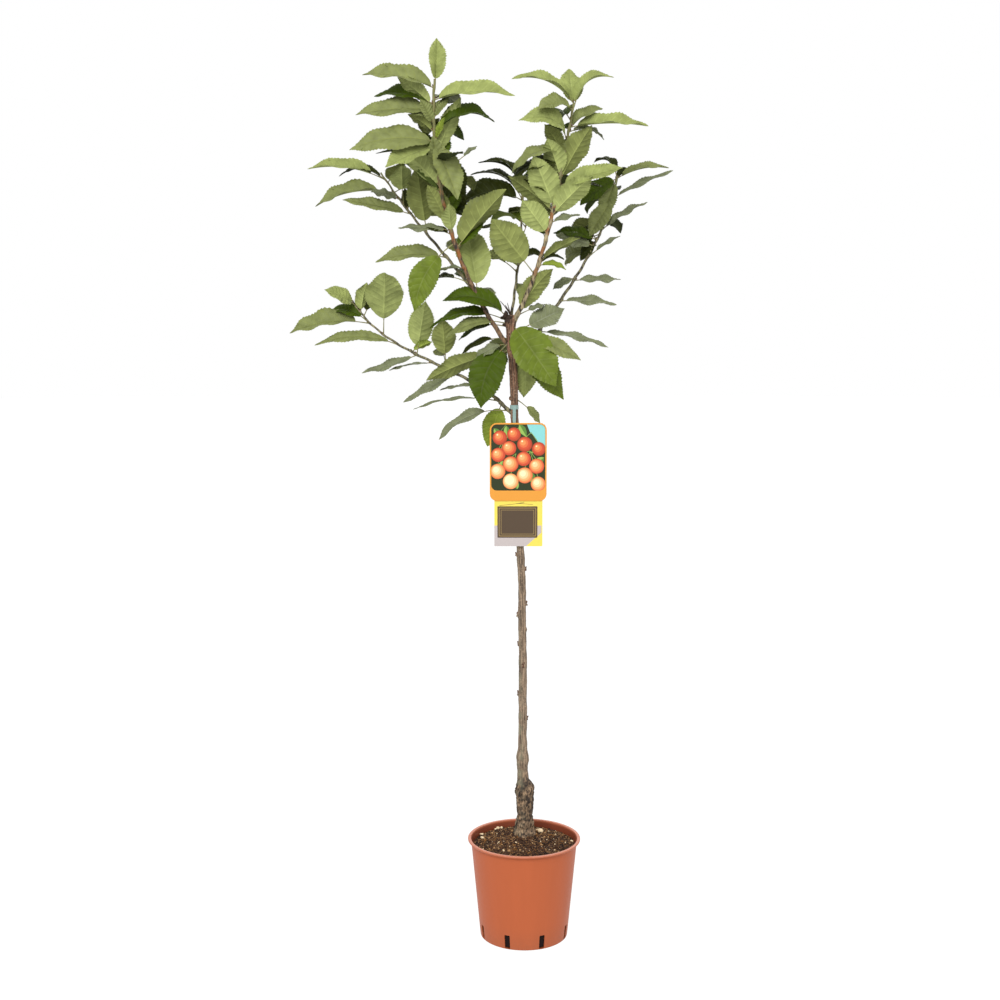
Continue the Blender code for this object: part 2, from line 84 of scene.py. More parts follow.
# Shoots: each runs from a foot on its carrier to its tip, drawn aside by two bows, and is leafy from a share
# of its length on. Its bark is brown (0), pale (1) or olive (2); the first two peel half way up
Shoot = namedtuple("Shoot", "carrier foot tip low_bow high_bow foot_radius tip_radius leafy bark")
SHOOTS = {
    "left": Shoot("trunk", 1.146, (-0.165, -0.070, 1.632), (-0.067, 0, -0.014), (-0.060, 0, -0.004),
                  0.0046, 0.0022, 0.40, 0),
    "right": Shoot("trunk", 1.188, (0.087, -0.060, 1.591), (0.036, 0, -0.003), (0.013, 0, 0.005),
                   0.0046, 0.0020, 0.40, 1),
    "centre": Shoot("trunk", 1.196, (-0.003, 0.130, 1.447), (0.004, 0, 0.004), (0.007, 0, -0.003),
                    0.0029, 0.0016, 0.45, 2),
    "far_right": Shoot("trunk", 1.110, (0.181, 0.120, 1.483), (0.005, 0, -0.010), (0.047, 0, -0.019),
                       0.0038, 0.0017, 0.62, 2),
    "low_left": Shoot("trunk", 1.018, (-0.331, 0.050, 1.241), (0.020, 0, 0.032), (-0.034, 0, -0.044),
                      0.0037, 0.0016, 0.86, 2),
    "side": Shoot("left", 0.235, (-0.275, 0.070, 1.483), (0.001, 0, -0.001), (-0.006, 0, -0.007),
                  0.0034, 0.0016, 0.60, 2),
}
FOLIAGE = {
    "left": ("left_top", "left_upper", "left_middle", "left_inner", "left_low"),
    "right": ("right_top", "right_upper", "right_middle", "right_inner", "right_low"),
    "centre": ("centre_tip",),
    "far_right": ("far_right_tip", "far_right_middle", "far_right_low", "fork_right"),
    "low_left": ("low_left_foot", "low_left_middle", "low_left_tip"),
    "side": ("side_tip",),
    "trunk": ("fork_front", "fork_left", "low_left_inner"),
}

# Leaves that give the crown its outline as seen by the viewer. at is a share of the shoot, or a height on the
# trunk. clock is the way from base to tip in degrees from the right by way of the top, toward is how far that
# way turns to the viewer, length and width are in millimetres, arch is the bow's height over its length, and
# roll turns the upper side towards the viewer (or the underside, where it is below zero). fold is how far each
# half is raised from flat, in degrees, stalk is the petiole's share of the length, and bend a bow sideways
Habit = namedtuple("Habit", "at clock toward length width arch roll shade fold stalk bend",
                   defaults=(30, 0.09, 0))
HABITS = {
    "left": (
        Habit(0.96, 87, 0, 92, 39, 0.10, 106, "pale", 41, 0.22),
        Habit(0.97, 171, 5, 129, 60, 0.08, 38, "mid", 36, 0.03),
        Habit(0.91, 142, 10, 83, 34, 0.04, -52, "pale", 20),
        Habit(0.915, 171, -15, 114, 48, 0.12, 38, "dark", 26),
        Habit(0.895, 184, 0, 140, 58, 0.05, 46, "mid", 26),
        Habit(0.785, 187, 8, 154, 60, 0.12, 50, "mid", 14, 0.04),
        Habit(0.86, 163, -5, 82, 44, 0.12, 40, "mid", 20),
        Habit(0.745, 177, -25, 124, 40, 0.04, 18, "deep", 20),
        Habit(0.765, 206, 26, 106, 54, 0.05, 48, "pale", 26),
        Habit(0.928, 2, 5, 146, 62, 0.08, 38, "pale", 34, 0.05),
        Habit(0.90, 34, -10, 56, 24, 0.05, 14, "deep", 20),
        Habit(0.815, 12, -15, 114, 54, 0.24, 36, "dark", 36),
        Habit(0.74, 66, 5, 109, 38, 0.03, -60, "pale", 24),
        Habit(0.82, 148, 12, 54, 30, 0.08, -35, "mid", 20),
        Habit(0.79, 66, 20, 44, 14, 0.02, 70, "lime"),
        Habit(0.66, 40, -10, 90, 15, 0.02, 40, "grey", 30, 0.66),
        Habit(0.77, 292, 22, 118, 56, 0.05, 66, "mid", 28, 0.06),
        Habit(0.66, 98, 15, 74, 44, 0.03, 108, "mid", 40),
        Habit(0.76, 297, -24, 122, 66, -0.04, 70, "deep", 14),
        Habit(0.63, 136, 15, 86, 56, 0.03, -48, "pale", 30, 0.06),
        Habit(0.60, 139, -5, 90, 34, 0.05, -24, "dark", 20),
        Habit(0.52, 64, -20, 54, 28, 0.06, 60, "dark", 16),
        Habit(0.46, 95, 35, 60, 32, 0.05, -66, "pale", 20),
        Habit(0.455, 168, -10, 60, 34, 0.08, 30, "deep", 16),
        Habit(0.40, 46, -20, 72, 36, 0.08, 50, "dark", 20),
        Habit(0.405, 49, 5, 138, 74, 0.03, -48, "mid", 36),
        Habit(0.22, 100, -20, 142, 74, 0.04, 106, "pale", 30, 0.16),
        Habit(0.47, 177, -5, 96, 32, 0.03, 28, "grey", 8),
        Habit(0.42, 240, 10, 146, 54, 0.06, 78, "green", 14, 0.24, 0.10),
        Habit(0.27, 173, -5, 70, 34, 0.12, 22, "deep", 24, 0.42),
        Habit(0.33, 186, -15, 46, 20, 0.06, 20, "grey", 20),
        Habit(0.70, 82, -25, 72, 44, 0.05, 80, "dark", 16, 0.06),
        Habit(0.70, 118, -35, 96, 46, 0.05, 70, "dark", 16, 0.06),
        Habit(0.50, 118, 6, 76, 44, 0.05, -66, "mid", 20, 0.08),
        Habit(0.85, 120, 20, 48, 26, 0.05, 60, "mid", 20, 0.06),
        Habit(0.87, 50, 10, 42, 22, 0.08, 50, "mid", 20, 0.06),
        Habit(0.16, 112, -68, 120, 52, 0.14, 60, "mid", 20, 0.16),
        Habit(0.26, 96, -72, 132, 56, 0.14, 60, "dark", 20, 0.16),
        Habit(0.37, 84, -70, 124, 52, 0.12, 60, "mid", 20, 0.12),
        Habit(0.50, 104, -72, 118, 50, 0.12, 60, "dark", 20, 0.12),
    ),
    "side": (
        Habit(0.95, 173, 5, 147, 50, 0.10, 36, "pale", 36, 0.18),
        Habit(0.95, 175, -12, 92, 34, 0.20, 24, "deep", 20),
        Habit(0.845, 190, 0, 152, 58, 0.11, 34, "mid", 38, 0.20),
        Habit(0.79, 168, 25, 58, 28, 0.06, 40, "grey", 14),
        Habit(0.67, 169, 5, 129, 36, 0.03, 48, "mid", 22),
        Habit(0.74, 88, 50, 98, 46, 0.06, -66, "pale", 22, 0.35),
        Habit(0.50, 98, 10, 124, 56, 0.04, -76, "mid", 14, 0.18),
        Habit(0.30, 184, 0, 132, 46, 0.10, 44, "mid", 30),
        Habit(0.70, 100, -20, 44, 26, 0.05, 50, "deep", 16),
    ),
    "centre": (
        Habit(0.99, 143, 0, 107, 46, 0.28, 26, "deep", 34),
        Habit(0.97, 155, -5, 112, 44, 0.22, 22, "deep", 26),
        Habit(0.96, 185, 5, 124, 66, 0.22, 46, "deep", 30),
        Habit(0.66, 166, -10, 88, 40, 0.10, 28, "deep", 20),
        Habit(0.39, 155, 0, 76, 36, 0.12, 30, "mid", 26, 0.35),
        Habit(0.49, 162, 10, 52, 28, 0.10, 20, "deep", 16),
        Habit(0.99, 335, -20, 44, 26, 0.15, 40, "deep", 20),
        Habit(0.55, 350, -10, 56, 28, 0.08, 30, "deep", 16),
        Habit(0.99, 60, -20, 76, 40, 0.12, 40, "dark", 20),
        Habit(0.80, 20, 10, 62, 32, 0.12, 30, "deep"),
    ),
    "right": (
        Habit(1.00, 160, 5, 119, 44, 0.17, 30, "pale", 36),
        Habit(1.00, 33, 0, 84, 46, 0.26, 34, "pale", 34, 0.04),
        Habit(0.99, 95, -30, 84, 46, 0.03, 96, "pale", 20),
        Habit(0.97, 187, 33, 78, 48, 0.18, 44, "mid", 30),
        Habit(0.84, 162, 18, 97, 46, 0.33, 48, "pale", 24),
        Habit(0.89, 32, -15, 74, 40, 0.12, 30, "mid"),
        Habit(0.895, 0, 5, 141, 54, 0.05, 34, "pale", 36),
        Habit(0.875, 350, -20, 70, 28, 0.18, 24, "grey", 26),
        Habit(0.675, 59, 14, 108, 56, 0.05, -58, "mid", 22, 0.05),
        Habit(0.685, 112, 25, 72, 46, 0.06, -64, "pale", 20, 0.05),
        Habit(0.78, 201, -5, 102, 46, 0.22, 34, "mid", 18),
        Habit(0.74, 196, -12, 98, 46, 0.14, 34, "deep", 14),
        Habit(0.53, 142, -8, 104, 50, 0.05, -44, "mid", 20, 0.06),
        Habit(0.64, 15, 5, 119, 44, 0.04, 56, "pale", 30),
        Habit(0.62, 7, -25, 94, 34, 0.08, 20, "deep", 20),
        Habit(0.55, 114, 22, 100, 58, 0.05, -76, "pale", 14, 0.05),
        Habit(0.52, 43, 20, 100, 54, 0.05, -64, "pale", 18, 0.05),
        Habit(0.43, 128, 14, 76, 50, 0.05, -70, "pale", 16, 0.06),
        Habit(0.48, 15, -10, 56, 24, 0.04, 30, "grey", 20),
        Habit(0.25, 129, 10, 127, 68, 0.04, -82, "mid", 14, 0.22),
        Habit(0.31, 30, 0, 84, 36, 0.06, -30, "mid", 20),
        Habit(0.29, 350, 5, 50, 26, 0.10, 30, "lime"),
        Habit(0.30, 8, -10, 46, 26, 0.20, 10, "deep"),
        Habit(0.06, 54, 8, 108, 46, 0.05, -66, "mid", 18, 0.14, 0.06),
        Habit(0.58, 100, -30, 96, 48, 0.05, 70, "deep", 16, 0.06),
        Habit(0.60, 150, -25, 84, 44, 0.05, 50, "deep", 16, 0.06),
        Habit(0.74, 70, -20, 60, 30, 0.05, 60, "mid", 16, 0.06),
        Habit(0.78, 125, 5, 62, 34, 0.05, -60, "mid", 16, 0.06),
        Habit(0.10, 58, -68, 118, 50, 0.14, 60, "mid", 20, 0.12),
        Habit(0.40, 120, -72, 126, 52, 0.14, 60, "dark", 20, 0.12),
        Habit(0.48, 60, -70, 120, 50, 0.12, 60, "mid", 20, 0.12),
    ),
    "far_right": (
        Habit(1.00, 145, -30, 60, 34, 0.30, 26, "deep"),
        Habit(0.99, 11, 0, 102, 34, 0.10, 30, "mid", 34),
        Habit(0.99, 50, -30, 34, 20, 0.10, 60, "deep"),
        Habit(0.90, 24, 0, 126, 28, 0.02, 30, "grey", 20),
        Habit(0.745, 31, 0, 101, 30, 0.05, 30, "grey", 22),
        Habit(0.61, 33, 0, 71, 20, 0.04, 24, "grey", 20, 0.25),
        Habit(0.485, 1, 0, 88, 32, 0.02, 28, "grey", 14),
        Habit(0.375, 356, 5, 106, 36, 0.04, 30, "grey", 16),
        Habit(0.98, 249, 12, 84, 36, 0.04, 76, "mid", 20, 0.10),
        Habit(0.985, 216, 2, 86, 46, 0.08, 52, "dark", 22, 0.06),
        Habit(0.88, 238, 16, 84, 42, 0.04, 74, "mid", 20, 0.08),
        Habit(0.86, 140, -60, 100, 46, 0.06, 50, "deep", 16),
        Habit(0.69, 171, -5, 84, 38, 0.12, 40, "dark", 16),
        Habit(0.66, 165, 10, 76, 36, 0.02, 50, "grey", 10),
        Habit(0.69, 233, 0, 50, 30, 0.05, 50, "deep", 16),
        Habit(0.49, 208, 5, 46, 20, 0.10, 50, "grey", 16),
        Habit(0.21, 347, 0, 134, 28, 0.05, 32, "grey", 14),
        Habit(0.64, 200, -66, 112, 48, 0.14, 60, "mid", 20, 0.12),
        Habit(0.72, 215, -68, 118, 50, 0.12, 60, "dark", 20, 0.12),
    ),
    "trunk": (
        Habit(1.180, 25, -5, 105, 46, 0.00, 66, "grey", 20, 0.30),
        Habit(1.207, 22, -10, 68, 22, 0.05, 30, "grey", 16, 0.45),
        Habit(1.182, 336, 10, 138, 40, 0.05, 48, "mid", 18, 0.26),
        Habit(1.190, 305, 18, 143, 80, 0.05, 76, "green", 16, 0.04),
        Habit(1.180, 306, 4, 158, 60, 0.04, 66, "green", 16),
        Habit(1.165, 280, -10, 113, 54, 0.04, 70, "pale", 14, 0.12, -0.12),
        Habit(1.158, 247, 15, 135, 68, 0.05, 78, "dark", 12, 0.14, 0.11),
        Habit(1.208, 166, 5, 124, 54, 0.23, 44, "dark", 22),
        Habit(1.202, 186, -5, 146, 42, 0.18, 30, "dark", 16, 0.20),
        Habit(1.196, 194, 5, 118, 38, 0.16, 34, "mid", 16, 0.22),
        Habit(1.190, 196, -5, 95, 30, 0.17, 34, "dark", 16, 0.30),
        Habit(1.168, 199, -8, 92, 28, 0.12, 26, "deep", 20, 0.30),
        Habit(1.158, 208, 5, 72, 28, 0.12, 40, "grey", 14, 0.20),
        Habit(1.145, 200, 8, 165, 46, 0.07, -54, "mid", 16, 0.28),
        Habit(1.052, 314, -8, 64, 24, 0.08, 40, "mid", 20, 0.35),
        Habit(1.176, 250, -68, 126, 54, 0.12, 60, "mid", 20, 0.14),
        Habit(1.170, 300, -66, 130, 56, 0.12, 60, "dark", 20, 0.14),
        Habit(1.186, 318, -60, 116, 50, 0.12, 60, "mid", 20, 0.14),
        Habit(1.150, 236, -64, 118, 50, 0.12, 60, "dark", 20, 0.14),
    ),
    "low_left": (
        Habit(0.97, 152, 35, 74, 36, 0.12, 50, "pale", 20, 0.16),
        Habit(0.93, 76, 12, 58, 34, 0.06, -50, "pale", 24),
        Habit(0.77, 84, 42, 150, 76, 0.06, -84, "pale", 20, 0.22),
        Habit(0.86, 187, 0, 154, 62, 0.10, 36, "mid", 36, 0.16),
        Habit(0.69, 181, 5, 155, 34, 0.13, 38, "mid", 18),
        Habit(0.88, 163, -12, 72, 42, 0.16, 40, "dark", 24, 0.16),
        Habit(0.575, 198, 0, 110, 28, -0.02, 34, "grey", 20),
        Habit(0.49, 190, -5, 84, 26, 0.05, 8, "grey", 8),
        Habit(0.575, 80, 8, 101, 52, 0.03, -78, "pale", 16, 0.15),
        Habit(0.415, 94, 15, 95, 50, 0.03, -84, "mid", 24, 0.28),
        Habit(0.36, 208, 5, 113, 28, 0.02, 40, "grey", 16),
        Habit(0.25, 188, -10, 70, 24, 0.04, 14, "grey", 14),
        Habit(0.12, 186, 0, 160, 24, 0.08, 10, "grey", 8, 0.25),
        Habit(0.05, 203, 5, 141, 38, 0.16, 34, "grey", 20, 0.28),
        Habit(0.09, 252, -10, 86, 46, 0.05, 84, "lime", 12),
        Habit(0.60, 25, 5, 42, 24, 0.08, -40, "lime", 20),
        Habit(0.41, 96, -60, 104, 46, 0.10, 60, "mid", 20, 0.34),
    ),
}

# Growth rule: a node every so often along a shoot, its leaf turned on from the one before by the divergence
DIVERGENCE = radians(144)
DEPTH_SHARE = 0.66
END_ON = 0.88
LEAFY_BACK = 0.55
RULE_END = 0.95
OUTWARD = 0.3
SPUR_EVERY = 3
SEED = 11

# Blade: row lines along the midrib with a thin strip for each side vein, columns from margin to margin
LEAF_COLUMNS = np.array((-1, -0.62, -0.3, -0.045, 0, 0.045, 0.3, 0.62, 1))
FIELD_ROWS = 4
VEIN_STRIP = 0.09
VEIN_SLANT = 0.15
PETIOLE_POINTS = 6
# Height of the waves of a margin over the blade's width: a dull leaf is crumpled, the others are nearly flat
WAVE = {"grey": 0.10}
COMMON_WAVE = 0.05

Leaf = namedtuple("Leaf", "base along upper length width arch fold twist bend petiole shade node_axis")
# Leaf tints: pale is a painted lit copy of the leaf green and the darkest a painted shaded copy; dark is an older
# leaf's green that also carries painted shade; mid, green, grey and lime are the leaves' own colours
SHADES = ("pale", "mid", "green", "dark", "deep", "grey", "lime")

# Marks on the trunk: height, bearing in degrees (0 right, 270 front), how far it stands out, its spread
Knot = namedtuple("Knot", "height bearing rise spread")
KNOTS = (
    Knot(0.289, 0, 0.0022, 0.0060),
    Knot(0.277, 185, 0.0020, 0.0045),
    Knot(0.262, 300, 0.0016, 0.0080),
    Knot(0.243, 215, 0.0014, 0.0060),
    Knot(0.346, 350, 0.0012, 0.0060),
    Knot(0.350, 200, 0.0012, 0.0050),
    Knot(0.371, 240, 0.0010, 0.0030),
    Knot(0.431, 0, 0.0018, 0.0030),
    Knot(0.482, 182, 0.0020, 0.0022),
    Knot(0.538, 272, 0.0016, 0.0034),
    Knot(0.580, 180, 0.0016, 0.0034),
    Knot(0.607, 345, 0.0022, 0.0044),
    Knot(0.637, 180, 0.0026, 0.0036),
    Knot(0.659, 2, 0.0020, 0.0034),
    Knot(0.682, 285, 0.0008, 0.0060),
    Knot(0.727, 0, 0.0018, 0.0034),
    Knot(0.755, 178, 0.0014, 0.0030),
    Knot(0.905, 100, 0.0014, 0.0030),
    Knot(0.985, 60, 0.0014, 0.0030),
    Knot(1.020, 200, 0.0010, 0.0030),
    Knot(1.080, 25, 0.0012, 0.0030),
    Knot(1.201, 250, 0.0030, 0.0050),
    Knot(1.204, 20, 0.0026, 0.0046),
    Knot(1.198, 140, 0.0022, 0.0050),
)


def linear(hex_colour):
    """Linear RGB of an sRGB hex colour."""
    levels = [int(hex_colour[place:place + 2], 16) / 255 for place in (1, 3, 5)]
    return tuple(level / 12.92 if level <= 0.04045 else ((level + 0.055) / 1.055) ** 2.4 for level in levels)


def length(name, description, default):
    """A size setting in metres."""
    return FloatProperty(name=name, description=description, default=default, min=0, precision=4,
                         unit="LENGTH")


def height(name, description, default):
    """A height setting in metres, which may lie below nought."""
    return FloatProperty(name=name, description=description, default=default, precision=4, unit="LENGTH")


def colour(name, description, default):
    """A colour setting, given as an sRGB hex value."""
    return FloatVectorProperty(name=name, description=description, default=linear(default), min=0, max=1,
                               subtype="COLOR")


class PotSettings(bpy.types.PropertyGroup):
    """Sizes and colours of the nursery pot"""
    foot_radius: length("Foot radius", "Outer radius of the wall at the ground", 0.0856)
    top_radius: length("Top radius", "Outer radius of the wall under the lip", 0.1043)
    wall: length("Wall", "Thickness of the moulded wall", 0.0020)
    lip_height: length("Lip height", "Height of the lip's upright edge", 0.0032)
    lip_round: length("Lip rounding", "Radius of the lip's rounded edges", 0.0013)
    lip_width: length("Lip width", "Width of the lip's top", 0.0062)
    flare: length("Flare", "Height over which the wall widens to the lip", 0.0085)
    slot_width: length("Slot width", "Width of a drainage slot", 0.0110)
    slot_bottom: height("Slot bottom", "Height of a slot's lower end; below nought it cuts the foot", 0.0010)
    slot_top: length("Slot top", "Height of a slot's upper end", 0.0290)
    plastic: colour("Plastic", "Terracotta pigment of the wall", "#A1502C")
    # Partly painted highlight: the lip's pale wear also stands in for light along the rim
    scuff: colour("Scuff", "Pale rubbed plastic on the lip", "#B07E6C")
    # Painted shade with some soil staining: tint of the darkened inner wall
    stain: colour("Stain", "Inner wall, stained by moist soil", "#4A1E14")
    dust: colour("Dust", "Dry soil on the plastic near the ground", "#7A4A34")


class SoilSettings(bpy.types.PropertyGroup):
    """Sizes and colours of the potting soil"""
    crumbs: IntProperty(name="Crumbs", description="Number of loose crumbs on the soil", default=5200, min=0)
    crumb: length("Crumb", "Half the size of a common crumb", 0.0011)
    pumice_bits: IntProperty(name="Pumice bits", description="Number of pale pumice bits", default=90, min=0)
    pumice: length("Pumice", "Half the size of a common pumice bit", 0.0010)
    fibres: IntProperty(name="Fibres", description="Number of coir fibres", default=240, min=0)
    fibre: length("Fibre", "Half the thickness of a coir fibre", 0.00035)
    # Painted shade: tint of the dark soil seen through the drainage slots
    wet: colour("Wet peat", "Soil behind the drainage slots", "#140402")
    dark: colour("Moist peat", "Darkest tint of the soil", "#1F120A")
    brown: colour("Peat", "Common tint of the soil", "#3A2415")
    chip: colour("Bark chip", "Tint of the composted bark", "#64421F")
    cream: colour("Pumice colour", "Tint of the pumice", "#CDB896")
    dry: colour("Dry crumb", "Palest tint of the soil", "#8E6E4A")
    coir: colour("Coir colour", "Tint of the fibres", "#7A5A3C")


class BarkSettings(bpy.types.PropertyGroup):
    """Relief and colours of the trunk and the shoots"""
    ring_gap: length("Ring gap", "Distance between rings of the trunk's mesh", 0.0016)
    fissure: length("Fissures", "Depth of the rootstock's bark fissures", 0.0020)
    ripple: length("Ripple", "Unevenness of the thin stem", 0.0008)
    lenticel: length("Lenticel", "Height of the cross marks on the stem", 0.00035)
    node_gap: length("Node gap", "Distance between the leaf nodes of a shoot", 0.0190)
    rootstock: colour("Rootstock", "Bark below the graft", "#836C54")
    crevice: colour("Crevice", "Bark in shade and in fissures", "#1F1813")
    lichen: colour("Lichen", "Grey-green bloom on the weather side", "#7C7A63")
    stem: colour("Stem", "Bark of the thin stem", "#71604F")
    upper: colour("Upper stem", "Younger bark under the fork", "#50392A")
    knob: colour("Knob", "Dead wood of the pruned leader", "#2C2018")
    brown_shoot: colour("Brown shoot", "Bark of the shoots on the weather side", "#54402C")
    pale_shoot: colour("Pale shoot", "Bark of the sheltered shoots", "#6E634A")
    olive_shoot: colour("Olive shoot", "Bark of the thinner shoots", "#58533A")
    orange: colour("Orange bark", "Patches where the shoots' bark is peeling", "#74451B")
    tip: colour("Shoot tip", "Green bark near the tips", "#66663C")
    bud: colour("Bud", "Bud scales", "#4E3020")


class LeafSettings(bpy.types.PropertyGroup):
    """Sizes and colours of the leaves"""
    veins: IntProperty(name="Veins", description="Side veins on each half of a blade", default=9, min=3)
    tooth: length("Tooth", "Depth of the teeth on the margin", 0.0014)
    pleat: length("Pleat", "Height of the blade's quilting between veins", 0.0018)
    thickness: length("Thickness", "Thickness of a blade", 0.0003)
    rib: length("Rib", "How far the midrib stands out underneath", 0.0008)
    petiole: length("Petiole", "Half the thickness of a leaf stalk", 0.0010)
    petiole_share: FloatProperty(name="Petiole share", description="Leaf stalk as a share of the whole leaf",
                                 default=0.14, min=0, max=1, subtype="FACTOR")
    # Painted light: this pair is the leaf green made paler for leaves in full light
    pale: colour("Pale", "Upper side of a sunlit leaf", "#79814A")
    pale_under: colour("Pale underside", "Underside of a sunlit leaf", "#828A53")
    mid: colour("Mid", "Upper side of a common leaf", "#696F43")
    mid_under: colour("Mid underside", "Underside of a common leaf", "#6B713F")
    green: colour("Green", "Upper side of a full-grown leaf", "#53601F")
    green_under: colour("Green underside", "Underside of a full-grown leaf", "#5C6730")
    # Partly painted shade: this pair is an older leaf's darker green, also given to low leaves that lie in shade
    dark: colour("Dark", "Upper side of a low, old leaf", "#37460A")
    dark_under: colour("Dark underside", "Underside of a low, old leaf", "#3E491F")
    # Painted shade: this pair is the leaf green darkened for leaves inside the crown
    deep: colour("Deep", "Upper side of an inner leaf", "#262B08")
    deep_under: colour("Deep underside", "Underside of an inner leaf", "#343A20")
    grey: colour("Grey", "Upper side of a dull leaf", "#64694D")
    grey_under: colour("Grey underside", "Underside of a dull leaf", "#6E725C")
    lime: colour("Lime", "Upper side of a new leaf", "#6C7A2C")
    lime_under: colour("Lime underside", "Underside of a new leaf", "#75823A")
    stalk: colour("Stalk", "Leaf stalk", "#73714C")
    gland: colour("Gland", "Nectar glands on the stalk", "#7A2E1C")


class LabelSettings(bpy.types.PropertyGroup):
    """Sizes and colours of the picture label"""
    margin: length("Margin", "Coloured margin round the picture", 0.0028)
    band: length("Band", "Height of the plain band under the picture", 0.0200)
    ink: length("Ink", "Thickness of one printed layer", 0.000015)
    cherry: length("Cherry", "Radius of a printed cherry", 0.0138)
    orange: colour("Orange", "Margin and band of the front card", "#C08230")
    green: colour("Green", "Ground of the picture", "#232B12")
    leaf: colour("Leaf", "Printed leaves", "#4A6E2C")
    light_leaf: colour("Light leaf", "Lit half of the printed leaves", "#7C9A48")
    turquoise: colour("Turquoise", "Sky in the picture's corner", "#74B0AE")
    red: colour("Red", "Ripe side of a cherry", "#B4452A")
    blush: colour("Blush", "Middle of a cherry", "#D08A50")
    cream: colour("Cream", "Pale side of a cherry", "#DCC89C")
    yellow: colour("Yellow", "Ground of the back card", "#CDB84E")
    plaque: colour("Plaque", "Plaque of the back card", "#46382A")
    tan: colour("Tan", "Frames of the plaque", "#8A7448")
    lilac: colour("Lilac", "Faded foot of the back card", "#A39A98")
    maroon: colour("Maroon", "Upper corners of the back card", "#4A1812")
    strap: colour("Strap", "Clear tinted strap", "#728A84")


class StageSettings(bpy.types.PropertyGroup):
    """Camera, light and floor"""
    side: FloatProperty(name="Side", description="Camera's place to the right", default=-0.0472,
                        unit="LENGTH")
    distance: length("Distance", "Camera's distance in front of the pot's middle", 2.655)
    height: length("Height", "Camera's height", 1.154)
    pitch: FloatProperty(name="Pitch", description="How far the camera looks down", default=radians(6.3),
                         subtype="ANGLE")
    lens: FloatProperty(name="Lens", description="Focal length", default=50.29, unit="CAMERA")
    floor_radius: length("Floor radius", "Radius of the round floor", 30.0)
    floor: colour("Floor", "White light table", "#FFFFFF")
    sky: FloatProperty(name="Sky", description="Strength of the even light from all round", default=1.0)
    key: FloatProperty(name="Key", description="Power of the large light in front and above", default=140.0,
                       unit="POWER")


def wire(tree, node, values):
    """Set a node's settings and sockets by name, and link those that are given a node or a socket."""
    sockets = {socket.identifier: socket for socket in node.inputs}
    for name, value in values.items():
        if isinstance(value, bpy.types.Node):
            value = next(socket for socket in value.outputs if socket.enabled)
        if isinstance(value, bpy.types.NodeSocket):
            tree.links.new(value, sockets[name])
        elif name in sockets:
            sockets[name].default_value = value
        else:
            setattr(node, name, value)


def add_node(tree, kind, values):
    """Add a node of a kind with its settings and links."""
    node = tree.nodes.new(kind)
    wire(tree, node, values)
    return node


def principled(name, constants):
    """A node material whose Principled shader has these constants, with its tree and shader."""
    material = bpy.data.materials.new(name)
    material.use_nodes = True
    tree = material.node_tree
    shader = tree.nodes["Principled BSDF"]
    wire(tree, shader, constants)
    return material, tree, shader


def tint(rgb, factor=1.0):
    """A colour made lighter or darker, with full alpha."""
    return (*(min(1.0, level * factor) for level in rgb), 1)


def grain(millimetres):
    """Noise scale that gives a pattern of about this size."""
    return 1000 / millimetres


